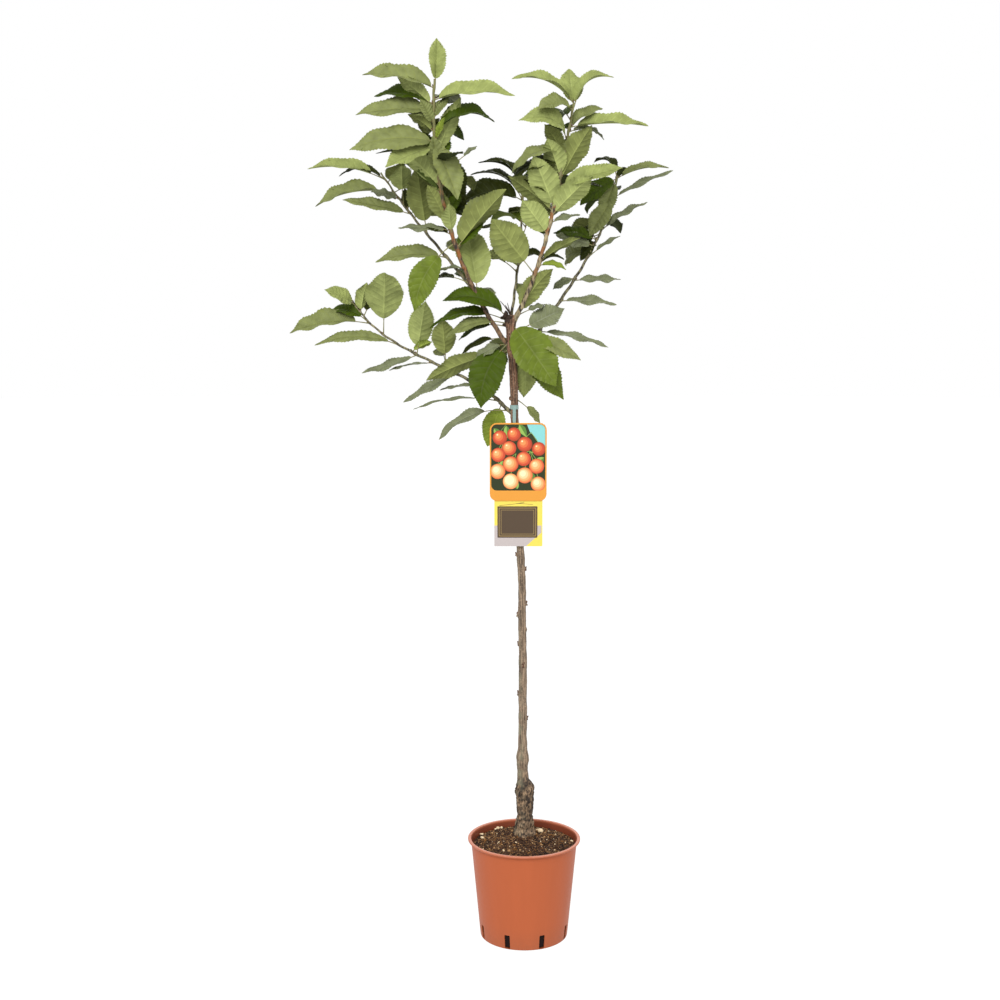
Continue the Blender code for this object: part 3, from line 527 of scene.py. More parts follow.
def pot_plastic(settings):
    """Polypropylene, injection moulded. Pigment gives an even satin terracotta with faint streaks where the
    melt ran up the wall, pale rubbing and a painted highlight on the lip, dry soil dust near the ground, and
    painted shade with some soil staining on the inner wall."""
    material, tree, shader = principled("Polypropylene, injection moulded", {
        "IOR": 1.49, "Specular IOR Level": 0.25})
    place = add_node(tree, "ShaderNodeTexCoord", {}).outputs["Object"]
    height = add_node(tree, "ShaderNodeSeparateXYZ", {"Vector": place}).outputs["Z"]
    drawn = add_node(tree, "ShaderNodeMapping", {"Vector": place, "Scale": (1, 1, 0.12)})
    streaks = add_node(tree, "ShaderNodeTexNoise", {"Vector": drawn, "Scale": grain(22), "Detail": 3})
    body = add_node(tree, "ShaderNodeMix", {
        "data_type": "RGBA", "A_Color": tint(settings.plastic, 0.93), "B_Color": tint(settings.plastic, 1.06),
        "Factor_Float": streaks})
    specks = add_node(tree, "ShaderNodeTexNoise", {"Vector": place, "Scale": grain(5), "Detail": 5})
    # Pale on the lip: partly wear, partly a painted highlight along the rim
    lip = add_node(tree, "ShaderNodeMapRange", {
        "Value": height, "From Min": POT_HIGH.z - 0.004, "From Max": POT_HIGH.z, "To Max": 0.9})
    rubbed_and_lit = add_node(tree, "ShaderNodeMath", {"operation": "MULTIPLY", "Value": lip, "Value_001": specks})
    scuffed_and_lit = add_node(tree, "ShaderNodeMix", {
        "data_type": "RGBA", "A_Color": body, "B_Color": tint(settings.scuff), "Factor_Float": rubbed_and_lit})
    low = add_node(tree, "ShaderNodeMapRange", {
        "Value": height, "From Min": 0.045, "From Max": 0.0, "To Max": 0.5})
    dusty = add_node(tree, "ShaderNodeMath", {"operation": "MULTIPLY", "Value": low, "Value_001": specks})
    coat = add_node(tree, "ShaderNodeMix", {
        "data_type": "RGBA", "A_Color": scuffed_and_lit, "B_Color": tint(settings.dust), "Factor_Float": dusty})
    # Painted shade, with some staining from moist soil, darkens the inner wall: what lies nearer the axis than the
    # middle of the wall's thickness
    neck = POT_HIGH.z - settings.flare
    level = add_node(tree, "ShaderNodeMapping", {"Vector": place, "Scale": (1, 1, 0)})
    reach = add_node(tree, "ShaderNodeVectorMath", {"operation": "LENGTH", "Vector": level}).outputs["Value"]
    slant = (settings.top_radius - settings.foot_radius) / POT_HIGH.z
    middle = add_node(tree, "ShaderNodeMath", {
        "operation": "MULTIPLY_ADD", "Value": height, "Value_001": slant,
        "Value_002": settings.foot_radius - settings.wall / 2})
    widened = add_node(tree, "ShaderNodeMapRange", {
        "Value": height, "From Min": neck, "From Max": POT_HIGH.z, "To Max": 0.0030})
    limit = add_node(tree, "ShaderNodeMath", {"operation": "ADD", "Value": middle, "Value_001": widened})
    inside = add_node(tree, "ShaderNodeMath", {"operation": "LESS_THAN", "Value": reach, "Value_001": limit})
    above = add_node(tree, "ShaderNodeMapRange", {"Value": height, "From Min": 0.170, "From Max": 0.176})
    rim = add_node(tree, "ShaderNodeMapRange", {
        "Value": height, "From Min": POT_HIGH.z - 0.001, "From Max": POT_HIGH.z - 0.005, "To Max": 0.7})
    walled = add_node(tree, "ShaderNodeMath", {"operation": "MULTIPLY", "Value": inside, "Value_001": above})
    stain = add_node(tree, "ShaderNodeMath", {"operation": "MULTIPLY", "Value": walled, "Value_001": rim})
    coat = add_node(tree, "ShaderNodeMix", {
        "data_type": "RGBA", "A_Color": coat, "B_Color": tint(settings.stain), "Factor_Float": stain})
    rough = add_node(tree, "ShaderNodeMapRange", {"Value": specks, "To Min": 0.38, "To Max": 0.56})
    # Spark-eroded mould grain is finer than this in life, and is drawn at 0.9 mm so that it shows
    mould = add_node(tree, "ShaderNodeTexNoise", {"Vector": place, "Scale": grain(0.9), "Detail": 2})
    bump = add_node(tree, "ShaderNodeBump", {"Strength": 0.12, "Distance": 0.0004, "Height": mould})
    wire(tree, shader, {"Base Color": coat, "Roughness": rough, "Normal": bump})
    return material


def earthen(name, rgb, size, roughness=0.95):
    """A dry, crumbling matter: dull, uneven in tint, and rough down to a fine grain."""
    material, tree, shader = principled(name, {"Roughness": roughness, "Specular IOR Level": 0.25})
    place = add_node(tree, "ShaderNodeTexCoord", {}).outputs["Object"]
    mottle = add_node(tree, "ShaderNodeTexNoise", {"Vector": place, "Scale": grain(size), "Detail": 6})
    body = add_node(tree, "ShaderNodeMix", {
        "data_type": "RGBA", "A_Color": tint(rgb, 0.62), "B_Color": tint(rgb, 1.4), "Factor_Float": mottle})
    bump = add_node(tree, "ShaderNodeBump", {"Strength": 0.6, "Distance": 0.0006, "Height": mottle})
    wire(tree, shader, {"Base Color": body, "Normal": bump})
    return material


def cherry_bark(settings):
    """Cherry bark. Below the graft it is cracked, its fissures darkened by the bark's own colour and by painted shade,
    and broad patches of painted shade darken it towards the graft; the thin stem above is streaked along and turns
    red-brown up to the fork. Lichen blooms on its left, and the pruned leader is dead wood."""
    material, tree, shader = principled("Cherry bark, weathered", {
        "Roughness": 0.82, "Specular IOR Level": 0.3})
    place = add_node(tree, "ShaderNodeTexCoord", {}).outputs["Object"]
    parts = add_node(tree, "ShaderNodeSeparateXYZ", {"Vector": place})
    along = add_node(tree, "ShaderNodeMapping", {"Vector": place, "Scale": (1, 1, 0.5)})
    cracks = add_node(tree, "ShaderNodeTexNoise", {"Vector": along, "Scale": grain(3.6), "Detail": 8})
    # Fissures darken partly by the bark's own colour and partly by painted shade in the cracks
    dark = add_node(tree, "ShaderNodeMapRange", {"Value": cracks, "From Min": 0.40, "From Max": 0.66})
    old = add_node(tree, "ShaderNodeMix", {
        "data_type": "RGBA", "A_Color": tint(settings.crevice, 1.5), "B_Color": tint(settings.rootstock, 1.4),
        "Factor_Float": dark})
    # Painted shade: broad dark patches on the rootstock, strongest towards the graft
    broad = add_node(tree, "ShaderNodeTexNoise", {"Vector": place, "Scale": grain(22), "Detail": 3})
    painted_shade_patches = add_node(tree, "ShaderNodeMapRange", {
        "Value": broad, "From Min": 0.44, "From Max": 0.60, "To Max": 0.85})
    shade_toward_graft = add_node(tree, "ShaderNodeMapRange", {
        "Value": parts.outputs["Z"], "From Min": 0.215, "From Max": 0.27, "To Min": 0.35})
    painted_shade_patches = add_node(tree, "ShaderNodeMath", {"operation": "MULTIPLY", "Value": painted_shade_patches, "Value_001": shade_toward_graft})
    old = add_node(tree, "ShaderNodeMix", {
        "data_type": "RGBA", "A_Color": old, "B_Color": tint(settings.crevice), "Factor_Float": painted_shade_patches})
    drawn = add_node(tree, "ShaderNodeMapping", {"Vector": place, "Scale": (1, 1, 0.06)})
    streaks = add_node(tree, "ShaderNodeTexNoise", {"Vector": drawn, "Scale": grain(2.2), "Detail": 5})
    strips = add_node(tree, "ShaderNodeMapRange", {"Value": streaks, "From Min": 0.40, "From Max": 0.60})
    thin = add_node(tree, "ShaderNodeMix", {
        "data_type": "RGBA", "A_Color": tint(settings.stem, 0.42), "B_Color": tint(settings.stem, 1.45),
        "Factor_Float": strips})
    young = add_node(tree, "ShaderNodeMix", {
        "data_type": "RGBA", "A_Color": tint(settings.upper, 0.25), "B_Color": tint(settings.upper, 2.3),
        "Factor_Float": strips})
    above = add_node(tree, "ShaderNodeMapRange", {
        "Value": parts.outputs["Z"], "From Min": 0.85, "From Max": 1.10})
    stem = add_node(tree, "ShaderNodeMix", {
        "data_type": "RGBA", "A_Color": thin, "B_Color": young, "Factor_Float": above})
    across = add_node(tree, "ShaderNodeMapping", {"Vector": place, "Scale": (1, 1, 3)})
    marks = add_node(tree, "ShaderNodeTexNoise", {"Vector": across, "Scale": grain(5), "Detail": 3})
    lines = add_node(tree, "ShaderNodeMapRange", {
        "Value": marks, "From Min": 0.58, "From Max": 0.66, "To Max": 0.5})
    marked = add_node(tree, "ShaderNodeMix", {
        "data_type": "RGBA", "A_Color": stem, "B_Color": tint(settings.crevice, 2), "Factor_Float": lines})
    scurf = add_node(tree, "ShaderNodeTexNoise", {"Vector": place, "Scale": grain(3.2), "Detail": 4})
    flecks = add_node(tree, "ShaderNodeMapRange", {
        "Value": scurf, "From Min": 0.56, "From Max": 0.68, "To Max": 0.5})
    marked = add_node(tree, "ShaderNodeMix", {
        "data_type": "RGBA", "A_Color": marked, "B_Color": tint(settings.stem, 2.2), "Factor_Float": flecks})
    graft = add_node(tree, "ShaderNodeMapRange", {
        "Value": parts.outputs["Z"], "From Min": 0.30, "From Max": 0.34})
    bare = add_node(tree, "ShaderNodeMix", {
        "data_type": "RGBA", "A_Color": old, "B_Color": marked, "Factor_Float": graft})
    # The stem leans to the left as it rises, so its weather side is found from both
    lean = add_node(tree, "ShaderNodeMath", {
        "operation": "MULTIPLY_ADD", "Value": parts.outputs["Z"], "Value_001": 0.030,
        "Value_002": parts.outputs["X"]})
    weather = add_node(tree, "ShaderNodeMapRange", {"Value": lean, "From Min": 0.013, "From Max": 0.002})
    patches = add_node(tree, "ShaderNodeTexNoise", {"Vector": place, "Scale": grain(14), "Detail": 5})
    bloom = add_node(tree, "ShaderNodeMapRange", {"Value": patches, "From Min": 0.42, "From Max": 0.60})
    fade = add_node(tree, "ShaderNodeMapRange", {
        "Value": parts.outputs["Z"], "From Min": 1.05, "From Max": 0.80, "To Max": 0.6})
    risen = add_node(tree, "ShaderNodeMapRange", {
        "Value": parts.outputs["Z"], "From Min": 0.26, "From Max": 0.34, "To Min": 0.3})
    facing = add_node(tree, "ShaderNodeMath", {"operation": "MULTIPLY", "Value": weather, "Value_001": risen})
    beside = add_node(tree, "ShaderNodeMath", {"operation": "MULTIPLY", "Value": bloom, "Value_001": facing})
    lichened = add_node(tree, "ShaderNodeMath", {"operation": "MULTIPLY", "Value": beside, "Value_001": fade})
    whole = add_node(tree, "ShaderNodeMix", {
        "data_type": "RGBA", "A_Color": bare, "B_Color": tint(settings.lichen), "Factor_Float": lichened})
    dead = add_node(tree, "ShaderNodeMapRange", {
        "Value": parts.outputs["Z"], "From Min": 1.194, "From Max": 1.200})
    left = add_node(tree, "ShaderNodeMapRange", {
        "Value": parts.outputs["X"], "From Min": -0.025, "From Max": -0.029})
    stump = add_node(tree, "ShaderNodeMath", {"operation": "MULTIPLY", "Value": dead, "Value_001": left})
    body = add_node(tree, "ShaderNodeMix", {
        "data_type": "RGBA", "A_Color": whole, "B_Color": tint(settings.knob), "Factor_Float": stump})
    bump = add_node(tree, "ShaderNodeBump", {"Strength": 0.7, "Distance": 0.0008, "Height": cracks})
    wire(tree, shader, {"Base Color": body, "Normal": bump})
    return material


def shoot_bark(name, rgb, peeling, settings):
    """Bark of this year's cherry shoots: smooth and a little glossy, mottled light and dark, olive near the
    tips, with small pale lenticels, and on thick shoots with peeling orange patches half way up."""
    material, tree, shader = principled(name, {"Roughness": 0.55, "Specular IOR Level": 0.3})
    place = add_node(tree, "ShaderNodeTexCoord", {}).outputs["Object"]
    height = add_node(tree, "ShaderNodeSeparateXYZ", {"Vector": place}).outputs["Z"]
    drawn = add_node(tree, "ShaderNodeMapping", {"Vector": place, "Scale": (1, 1, 0.3)})
    mottle = add_node(tree, "ShaderNodeTexNoise", {"Vector": drawn, "Scale": grain(4), "Detail": 5})
    streaks = add_node(tree, "ShaderNodeMapRange", {"Value": mottle, "From Min": 0.36, "From Max": 0.64})
    brown = add_node(tree, "ShaderNodeMix", {
        "data_type": "RGBA", "A_Color": tint(rgb, 0.25), "B_Color": tint(rgb, 1.8), "Factor_Float": streaks})
    flakes = add_node(tree, "ShaderNodeTexNoise", {"Vector": place, "Scale": grain(14), "Detail": 5})
    flaked = add_node(tree, "ShaderNodeMapRange", {"Value": flakes, "From Min": 0.46, "From Max": 0.56, "To Max": peeling})
    start = add_node(tree, "ShaderNodeMapRange", {"Value": height, "From Min": 1.25, "From Max": 1.31})
    stop = add_node(tree, "ShaderNodeMapRange", {"Value": height, "From Min": 1.46, "From Max": 1.43})
    stretch = add_node(tree, "ShaderNodeMath", {"operation": "MULTIPLY", "Value": start, "Value_001": stop})
    peeled = add_node(tree, "ShaderNodeMath", {
        "operation": "MULTIPLY", "Value": flaked, "Value_001": stretch})
    patched = add_node(tree, "ShaderNodeMix", {
        "data_type": "RGBA", "A_Color": brown, "B_Color": tint(settings.orange), "Factor_Float": peeled})
    splits = add_node(tree, "ShaderNodeMapRange", {
        "Value": mottle, "From Min": 0.46, "From Max": 0.38, "To Max": 0.85})
    patched = add_node(tree, "ShaderNodeMix", {
        "data_type": "RGBA", "A_Color": patched, "B_Color": tint(settings.crevice), "Factor_Float": splits})
    young = add_node(tree, "ShaderNodeMapRange", {
        "Value": height, "From Min": 1.40, "From Max": 1.50, "To Max": 0.85})
    body = add_node(tree, "ShaderNodeMix", {
        "data_type": "RGBA", "A_Color": patched, "B_Color": tint(settings.tip), "Factor_Float": young})
    dots = add_node(tree, "ShaderNodeTexVoronoi", {"Vector": place, "Scale": grain(3)})
    pores = add_node(tree, "ShaderNodeMapRange", {
        "Value": dots, "From Min": 0.22, "From Max": 0.12, "To Max": 0.5})
    dotted = add_node(tree, "ShaderNodeMix", {
        "data_type": "RGBA", "A_Color": body, "B_Color": tint(linear("#A08C6A")), "Factor_Float": pores})
    bump = add_node(tree, "ShaderNodeBump", {"Strength": 0.3, "Distance": 0.0004, "Height": mottle})
    wire(tree, shader, {"Base Color": dotted, "Normal": bump})
    return material


def leaf_surface(name, rgb, roughness, relief):
    """Living leaf: an even green, slightly clouded, with a fine net of veinlets that breaks up its gloss."""
    material, tree, shader = principled(name, {
        "Roughness": roughness, "IOR": 1.42, "Specular IOR Level": 0.07})
    place = add_node(tree, "ShaderNodeTexCoord", {}).outputs["Object"]
    cloud = add_node(tree, "ShaderNodeTexNoise", {"Vector": place, "Scale": grain(17), "Detail": 4})
    body = add_node(tree, "ShaderNodeMix", {
        "data_type": "RGBA", "A_Color": tint(rgb, 0.55), "B_Color": tint(rgb, 1.45), "Factor_Float": cloud})
    net = add_node(tree, "ShaderNodeTexVoronoi", {
        "Vector": place, "feature": "DISTANCE_TO_EDGE", "Scale": grain(1.8)})
    bump = add_node(tree, "ShaderNodeBump", {"Strength": relief, "Distance": 0.0003, "Height": net})
    wire(tree, shader, {"Base Color": body, "Normal": bump})
    return material


def printed(name, rgb):
    """Offset print on a polypropylene card: one flat ink under a clear, even gloss."""
    material, tree, shader = principled(name, {
        "Roughness": 0.4, "IOR": 1.5, "Specular IOR Level": 0.2, "Coat Weight": 0.1, "Coat Roughness": 0.15})
    place = add_node(tree, "ShaderNodeTexCoord", {}).outputs["Object"]
    screen = add_node(tree, "ShaderNodeTexNoise", {"Vector": place, "Scale": grain(1.2), "Detail": 2})
    body = add_node(tree, "ShaderNodeMix", {
        "data_type": "RGBA", "A_Color": tint(rgb, 0.93), "B_Color": tint(rgb, 1.05), "Factor_Float": screen})
    wire(tree, shader, {"Base Color": body})
    return material


def strap_film(settings):
    """Tinted polyethylene film, die cut: thin, glossy and milky, with light scratches from handling."""
    material, tree, shader = principled("Polyethylene strap, die cut", {"IOR": 1.51, "Alpha": 1.0})
    place = add_node(tree, "ShaderNodeTexCoord", {}).outputs["Object"]
    scratches = add_node(tree, "ShaderNodeTexNoise", {"Vector": place, "Scale": grain(2), "Detail": 6})
    body = add_node(tree, "ShaderNodeMix", {
        "data_type": "RGBA", "A_Color": tint(settings.strap, 0.85), "B_Color": tint(settings.strap, 1.1),
        "Factor_Float": scratches})
    rough = add_node(tree, "ShaderNodeMapRange", {"Value": scratches, "To Min": 0.18, "To Max": 0.38})
    wire(tree, shader, {"Base Color": body, "Roughness": rough})
    return material


class Heap:
    """Vertices, faces and material numbers of a mesh that joins many small things."""

    def __init__(self):
        self.vertices = []
        self.faces = []
        self.indices = []

    def add(self, vertices, faces, index=0):
        """Put one more thing on the heap; index is one material number, or one for each face."""
        start = len(self.vertices)
        self.vertices.extend(tuple(map(float, vertex)) for vertex in vertices)
        self.faces.extend(tuple(start + int(corner) for corner in face) for face in faces)
        self.indices.extend([index] * len(faces) if isinstance(index, int) else index)


def add_piece(name, heap, materials, replaced=(), sharp_degrees=60):
    """Make one named piece from a heap, let it ride with the plant and hide the parts it replaces."""
    mesh = bpy.data.meshes.new(name)
    mesh.from_pydata(heap.vertices, [], heap.faces)
    for material in materials:
        mesh.materials.append(material)
    mesh.polygons.foreach_set("material_index", heap.indices)
    mesh.shade_smooth()
    mesh.set_sharp_from_angle(angle=radians(sharp_degrees))
    mesh.update()
    piece = bpy.data.objects.new(name, mesh)
    bpy.context.scene.collection.objects.link(piece)
    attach(piece, BODY)
    if replaced:
        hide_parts(*replaced)
    return piece


def tube(points, radii, sides):
    """Vertices and faces of a closed tube along a line of points."""
    points = [Vector(point) for point in points]
    last = len(points) - 1
    vertices, faces = [], []
    across = (points[1] - points[0]).orthogonal().normalized()
    for number, radius in enumerate(radii):
        along = (points[min(number + 1, last)] - points[max(number - 1, 0)]).normalized()
        across = (across - along * across.dot(along)).normalized()
        beside = along.cross(across)
        for side in range(sides):
            angle = tau * side / sides
            vertices.append(points[number] + (across * cos(angle) + beside * sin(angle)) * radius)
    for ring in range(last):
        for side in range(sides):
            low, high, after = ring * sides, (ring + 1) * sides, (side + 1) % sides
            faces.append((low + side, low + after, high + after, high + side))
    faces.append(tuple(reversed(range(sides))))
    faces.append(tuple(range(last * sides, (last + 1) * sides)))
    return vertices, faces


def drop(base, along, long, radius, sides=7):
    """A small pointed body such as a bud or a gland."""
    shape = ((0, 0.7), (0.22, 1.0), (0.5, 0.9), (0.78, 0.5), (1, 0.08))
    points = [base + along * (long * share) for share, _ in shape]
    return tube(points, [radius * wide for _, wide in shape], sides)


def arc(centre, radius, start, end, steps):
    """Points of an arc about a centre, from one angle to another in degrees."""
    angles = [radians(start + (end - start) * step / steps) for step in range(steps + 1)]
    return [(centre[0] + radius * cos(angle), centre[1] + radius * sin(angle)) for angle in angles]


def lathe(profile, sides):
    """Vertices and faces of a solid turned from a profile that starts and ends on the axis."""
    rings = profile[1:-1]
    vertices = [(0, 0, profile[0][1])]
    for radius, height in rings:
        for side in range(sides):
            angle = tau * side / sides
            vertices.append((radius * cos(angle), radius * sin(angle), height))
    vertices.append((0, 0, profile[-1][1]))
    faces, last = [], len(vertices) - 1
    for side in range(sides):
        after = (side + 1) % sides
        faces.append((0, 1 + after, 1 + side))
        for ring in range(len(rings) - 1):
            low, high = 1 + ring * sides, 1 + (ring + 1) * sides
            faces.append((low + side, low + after, high + after, high + side))
        top = 1 + (len(rings) - 1) * sides
        faces.append((top + side, top + after, last))
    return vertices, faces


POT_SIDES = 144
SLOT_COUNT = 8
SLOT_CORNER = 0.0018
FOOT_RING = 0.012
FOOT_RECESS = 0.0012
FOOT_ROUND = 0.0016


def pot_radius(settings, height):
    """Outer radius of the pot's wall at a height."""
    return settings.foot_radius + (settings.top_radius - settings.foot_radius) * height / POT_HIGH.z


def pot_profile(settings):
    """The pot's section: recessed underside, rounded foot, tapered wall, flared lip and inner wall."""
    top, round_ = POT_HIGH.z, settings.lip_round
    neck, under = top - settings.flare, top - settings.lip_height
    lip, foot = POT_HIGH.x, settings.foot_radius
    profile = [(0, FOOT_RECESS), (foot - FOOT_RING, FOOT_RECESS), (foot - FOOT_RING + FOOT_RECESS, POT_LOW.z)]
    profile += arc((foot - FOOT_ROUND, FOOT_ROUND), FOOT_ROUND, -90, 5, 5)
    profile += [(pot_radius(settings, neck * step / 12), neck * step / 12) for step in range(1, 13)]
    profile += arc((lip - round_ * 0.6, under + round_ * 0.6), round_ * 0.6, -60, 0, 4)
    profile += arc((lip - round_, top - round_), round_, 0, 90, 6)
    profile += arc((lip - settings.lip_width + round_, top - round_), round_, 90, 180, 6)
    floor = FOOT_RECESS + settings.wall
    profile += [(pot_radius(settings, floor + (neck - floor) * step / 10) - settings.wall,
                 floor + (neck - floor) * step / 10) for step in range(10, 0, -1)]
    profile += [(foot - settings.wall - 0.001, floor), (0, floor)]
    return profile


def slot_cutter(settings):
    """All the drainage slots as one mesh of upright rounded bars that run through the wall."""
    heap = Heap()
    wide, low, high = settings.slot_width / 2, settings.slot_bottom, settings.slot_top
    corner = SLOT_CORNER
    outline = (arc((wide - corner, high - corner), corner, 0, 90, 4)
               + arc((corner - wide, high - corner), corner, 90, 180, 4)
               + arc((corner - wide, low + corner), corner, 180, 270, 4)
               + arc((wide - corner, low + corner), corner, 270, 360, 4))
    count = len(outline)
    for number in range(SLOT_COUNT):
        bearing = tau * (number + 0.5) / SLOT_COUNT
        out = Vector((cos(bearing), sin(bearing), 0))
        beside = Vector((-sin(bearing), cos(bearing), 0))
        near = pot_radius(settings, low) - 4 * settings.wall
        far = pot_radius(settings, high) + 2 * settings.wall
        vertices = [out * reach + beside * x + UP * z for reach in (near, far) for x, z in outline]
        faces = [tuple(reversed(range(count))), tuple(range(count, 2 * count))]
        for step in range(count):
            after = (step + 1) % count
            faces.append((step, after, count + after, count + step))
        heap.add(vertices, faces)
    mesh = bpy.data.meshes.new("pot_slots")
    mesh.from_pydata(heap.vertices, [], heap.faces)
    cutter = bpy.data.objects.new("pot_slots", mesh)
    bpy.context.scene.collection.objects.link(cutter)
    return cutter


def carve(piece, cutter):
    """Cut a piece with another mesh, keep the result and drop the cutter."""
    boolean = piece.modifiers.new("slots", "BOOLEAN")
    boolean.operation = "DIFFERENCE"
    boolean.object = cutter
    bpy.context.view_layer.update()
    shown = piece.evaluated_get(bpy.context.evaluated_depsgraph_get())
    mesh = bpy.data.meshes.new_from_object(shown)
    piece.modifiers.clear()
    piece.data = mesh
    mesh.set_sharp_from_angle(angle=radians(40))
    bpy.data.objects.remove(cutter)


def build_pot(settings):
    """The nursery pot."""
    heap = Heap()
    heap.add(*lathe(pot_profile(settings), POT_SIDES))
    pot = add_piece("nursery_pot", heap, [pot_plastic(settings)], ["pot"], 40)
    carve(pot, slot_cutter(settings))


# Soil section as radius and height, from the mound round the trunk to the wall of the pot
SOIL_SECTION = ((0.0, SOIL_HIGH.z), (0.046, SOIL_HIGH.z), (0.0736, 0.1885), (0.1006, 0.1800))
SOIL_RINGS = 56
SOIL_SIDES = 160
SOIL_LUMP = 0.0016
SOIL_COLLAR = 0.0022


def soil_height(x, y):
    """Height of the soil's uneven surface at a place."""
    radii, heights = zip(*SOIL_SECTION)
    level = float(np.interp(hypot(x, y), radii, heights))
    lumps = noise.fractal(Vector((x, y, 0)) * grain(13), 0.8, 2.1, 4) * SOIL_LUMP
    foot = trunk_place(TRUNK_RINGS[0][0])[0]
    away = hypot(x - foot.x, y - foot.y) / 0.027
    return level + lumps + SOIL_COLLAR * 2.72 ** -(away ** 2)


def build_soil(settings):
    """The soil with its loose crumbs, bark chips, pumice bits and coir fibres."""
    random = np.random.default_rng(SEED + 1)
    edge = SOIL_SECTION[-1][0]
    heap = Heap()
    vertices = [(0, 0, soil_height(0, 0))]
    rings = [edge * (step + 1) / SOIL_RINGS for step in range(SOIL_RINGS)]
    for radius in rings:
        for side in range(SOIL_SIDES):
            angle = tau * side / SOIL_SIDES
            x, y = radius * cos(angle), radius * sin(angle)
            vertices.append((x, y, soil_height(x, y)))
    for height, inset in ((0.12, 0.0062), (0.03, 0.0148), (SOIL_LOW.z + 0.0012, 0.0176)):
        for side in range(SOIL_SIDES):
            angle = tau * side / SOIL_SIDES
            reach = edge - inset + 0.0004 * sin(side * 1.7) * sin(height * 900)
            vertices.append((reach * cos(angle), reach * sin(angle), height))
    last = len(vertices)
    vertices.append((0, 0, SOIL_LOW.z + 0.0012))
    faces, indices = [], []
    for side in range(SOIL_SIDES):
        after = (side + 1) % SOIL_SIDES
        faces.append((0, 1 + side, 1 + after))
        for ring in range(SOIL_RINGS + 2):
            near, far = 1 + ring * SOIL_SIDES, 1 + (ring + 1) * SOIL_SIDES
            faces.append((near + side, far + side, far + after, near + after))
        outer = 1 + (SOIL_RINGS + 2) * SOIL_SIDES
        faces.append((outer + side, last, outer + after))
        # The soil's sides under its surface, seen through the slots, take the painted shade tint
        indices += [0] * SOIL_RINGS + [1] * (SOIL_RINGS + 4 - SOIL_RINGS)
    heap.add(vertices, faces, indices)
    brown = earthen("Peat compost, moist", settings.brown, 4)
    wet = earthen("Peat compost, wet", settings.wet, 4)
    add_piece("soil_bed", heap, [brown, wet], ["potting_soil"])

    ball, angular = unit_ball(), unit_ball(1)
    crumbs = Heap()
    for _ in range(settings.crumbs):
        size = settings.crumb * random.lognormal(-0.25, 0.45)
        place = soil_spot(random, size * 0.3)
        index = int(random.choice(4, p=(0.42, 0.29, 0.18, 0.11)))
        long = (1.9, 1.0, 0.5) if index == 2 else (1.15, 1.0, 0.8)
        crumbs.add(pebble(random, place, size * np.array(long), angular), angular[1], index)
    tints = [earthen("Peat crumbs, moist", settings.dark, 1.5), brown,
             earthen("Composted bark chips", settings.chip, 1.5), earthen("Peat crumbs, dry", settings.dry, 1.5)]
    add_piece("soil_crumbs", crumbs, tints)

    bits = Heap()
    # The largest bits lie behind the trunk on both sides, and a few near the wall
    large = ((0.033, 0.030, 0.0052), (0.027, 0.040, 0.0034), (-0.056, 0.076, 0.0038), (-0.050, 0.086, 0.0040),
             (-0.044, 0.080, 0.0030), (-0.082, 0.020, 0.0030), (-0.083, 0.048, 0.0030), (0.094, 0.010, 0.0030),
             (-0.016, -0.028, 0.0019), (-0.040, -0.060, 0.0021), (-0.030, -0.064, 0.0019), (0.058, -0.054, 0.0018))
    for x, y, size in large:
        place = Vector((x, y, soil_height(x, y) + size * 0.4))
        bits.add(pebble(random, place, size * np.array((1.2, 1.0, 0.8)), ball), ball[1])
    for _ in range(settings.pumice_bits):
        size = min(0.0017, settings.pumice * random.lognormal(-0.3, 0.5))
        bits.add(pebble(random, soil_spot(random, size * 0.5), size * np.ones(3), ball), ball[1])
    add_piece("soil_pumice", bits, [earthen("Pumice, crushed", settings.cream, 0.9)])

    strands = Heap()
    for _ in range(settings.fibres):
        place = soil_spot(random, 0)
        heading, bend = random.uniform(0, tau), random.normal(0, 0.5)
        step, points = random.uniform(0.0014, 0.0046), []
        for _ in range(7):
            heading += bend * 0.4
            x, y = place.x + step * cos(heading), place.y + step * sin(heading)
            if hypot(x, y) > edge - 0.002:
                break
            place = Vector((x, y, soil_height(x, y) + random.uniform(0.0002, 0.0014)))
            points.append(place)
        if len(points) > 2:
            strands.add(*tube(points, [settings.fibre] * len(points), 5))
    add_piece("soil_fibres", strands, [earthen("Coir fibre, dry", settings.coir, 2)])


def unit_ball(fineness=2):
    """Vertices and faces of a small ball that grains are pressed from."""
    bm = bmesh.new()
    bmesh.ops.create_icosphere(bm, subdivisions=fineness, radius=1)
    vertices = np.array([tuple(vert.co) for vert in bm.verts])
    faces = [tuple(vert.index for vert in face.verts) for face in bm.faces]
    bm.free()
    return vertices, faces


def pebble(random, centre, size, ball):
    """One irregular grain: a ball dented, pressed out of round and turned at random."""
    points = ball[0]
    waves = points @ random.normal(0, 1.6, (3, 4)) + random.uniform(0, tau, 4)
    dents = 1 + 0.13 * np.sin(waves).sum(axis=1)
    lie = Euler((random.normal(0, 0.35), random.normal(0, 0.35), random.uniform(0, tau))).to_matrix()
    return (points * dents[:, None] * size) @ np.array(lie).T + np.array(centre)


def soil_spot(random, lift):
    """A random place on the soil, clear of the trunk and of the pot's wall."""
    while True:
        radius = (SOIL_SECTION[-1][0] - 0.003) * random.uniform(0, 1) ** 0.5
        angle = random.uniform(0, tau)
        x, y = radius * cos(angle), radius * sin(angle)
        foot = trunk_place(TRUNK_RINGS[0][0])[0]
        if hypot(x - foot.x, y - foot.y) > 0.021:
            return Vector((x, y, soil_height(x, y) + lift))


# Two levels of the trunk's solid lie further apart than this
RING_STEP = 0.001


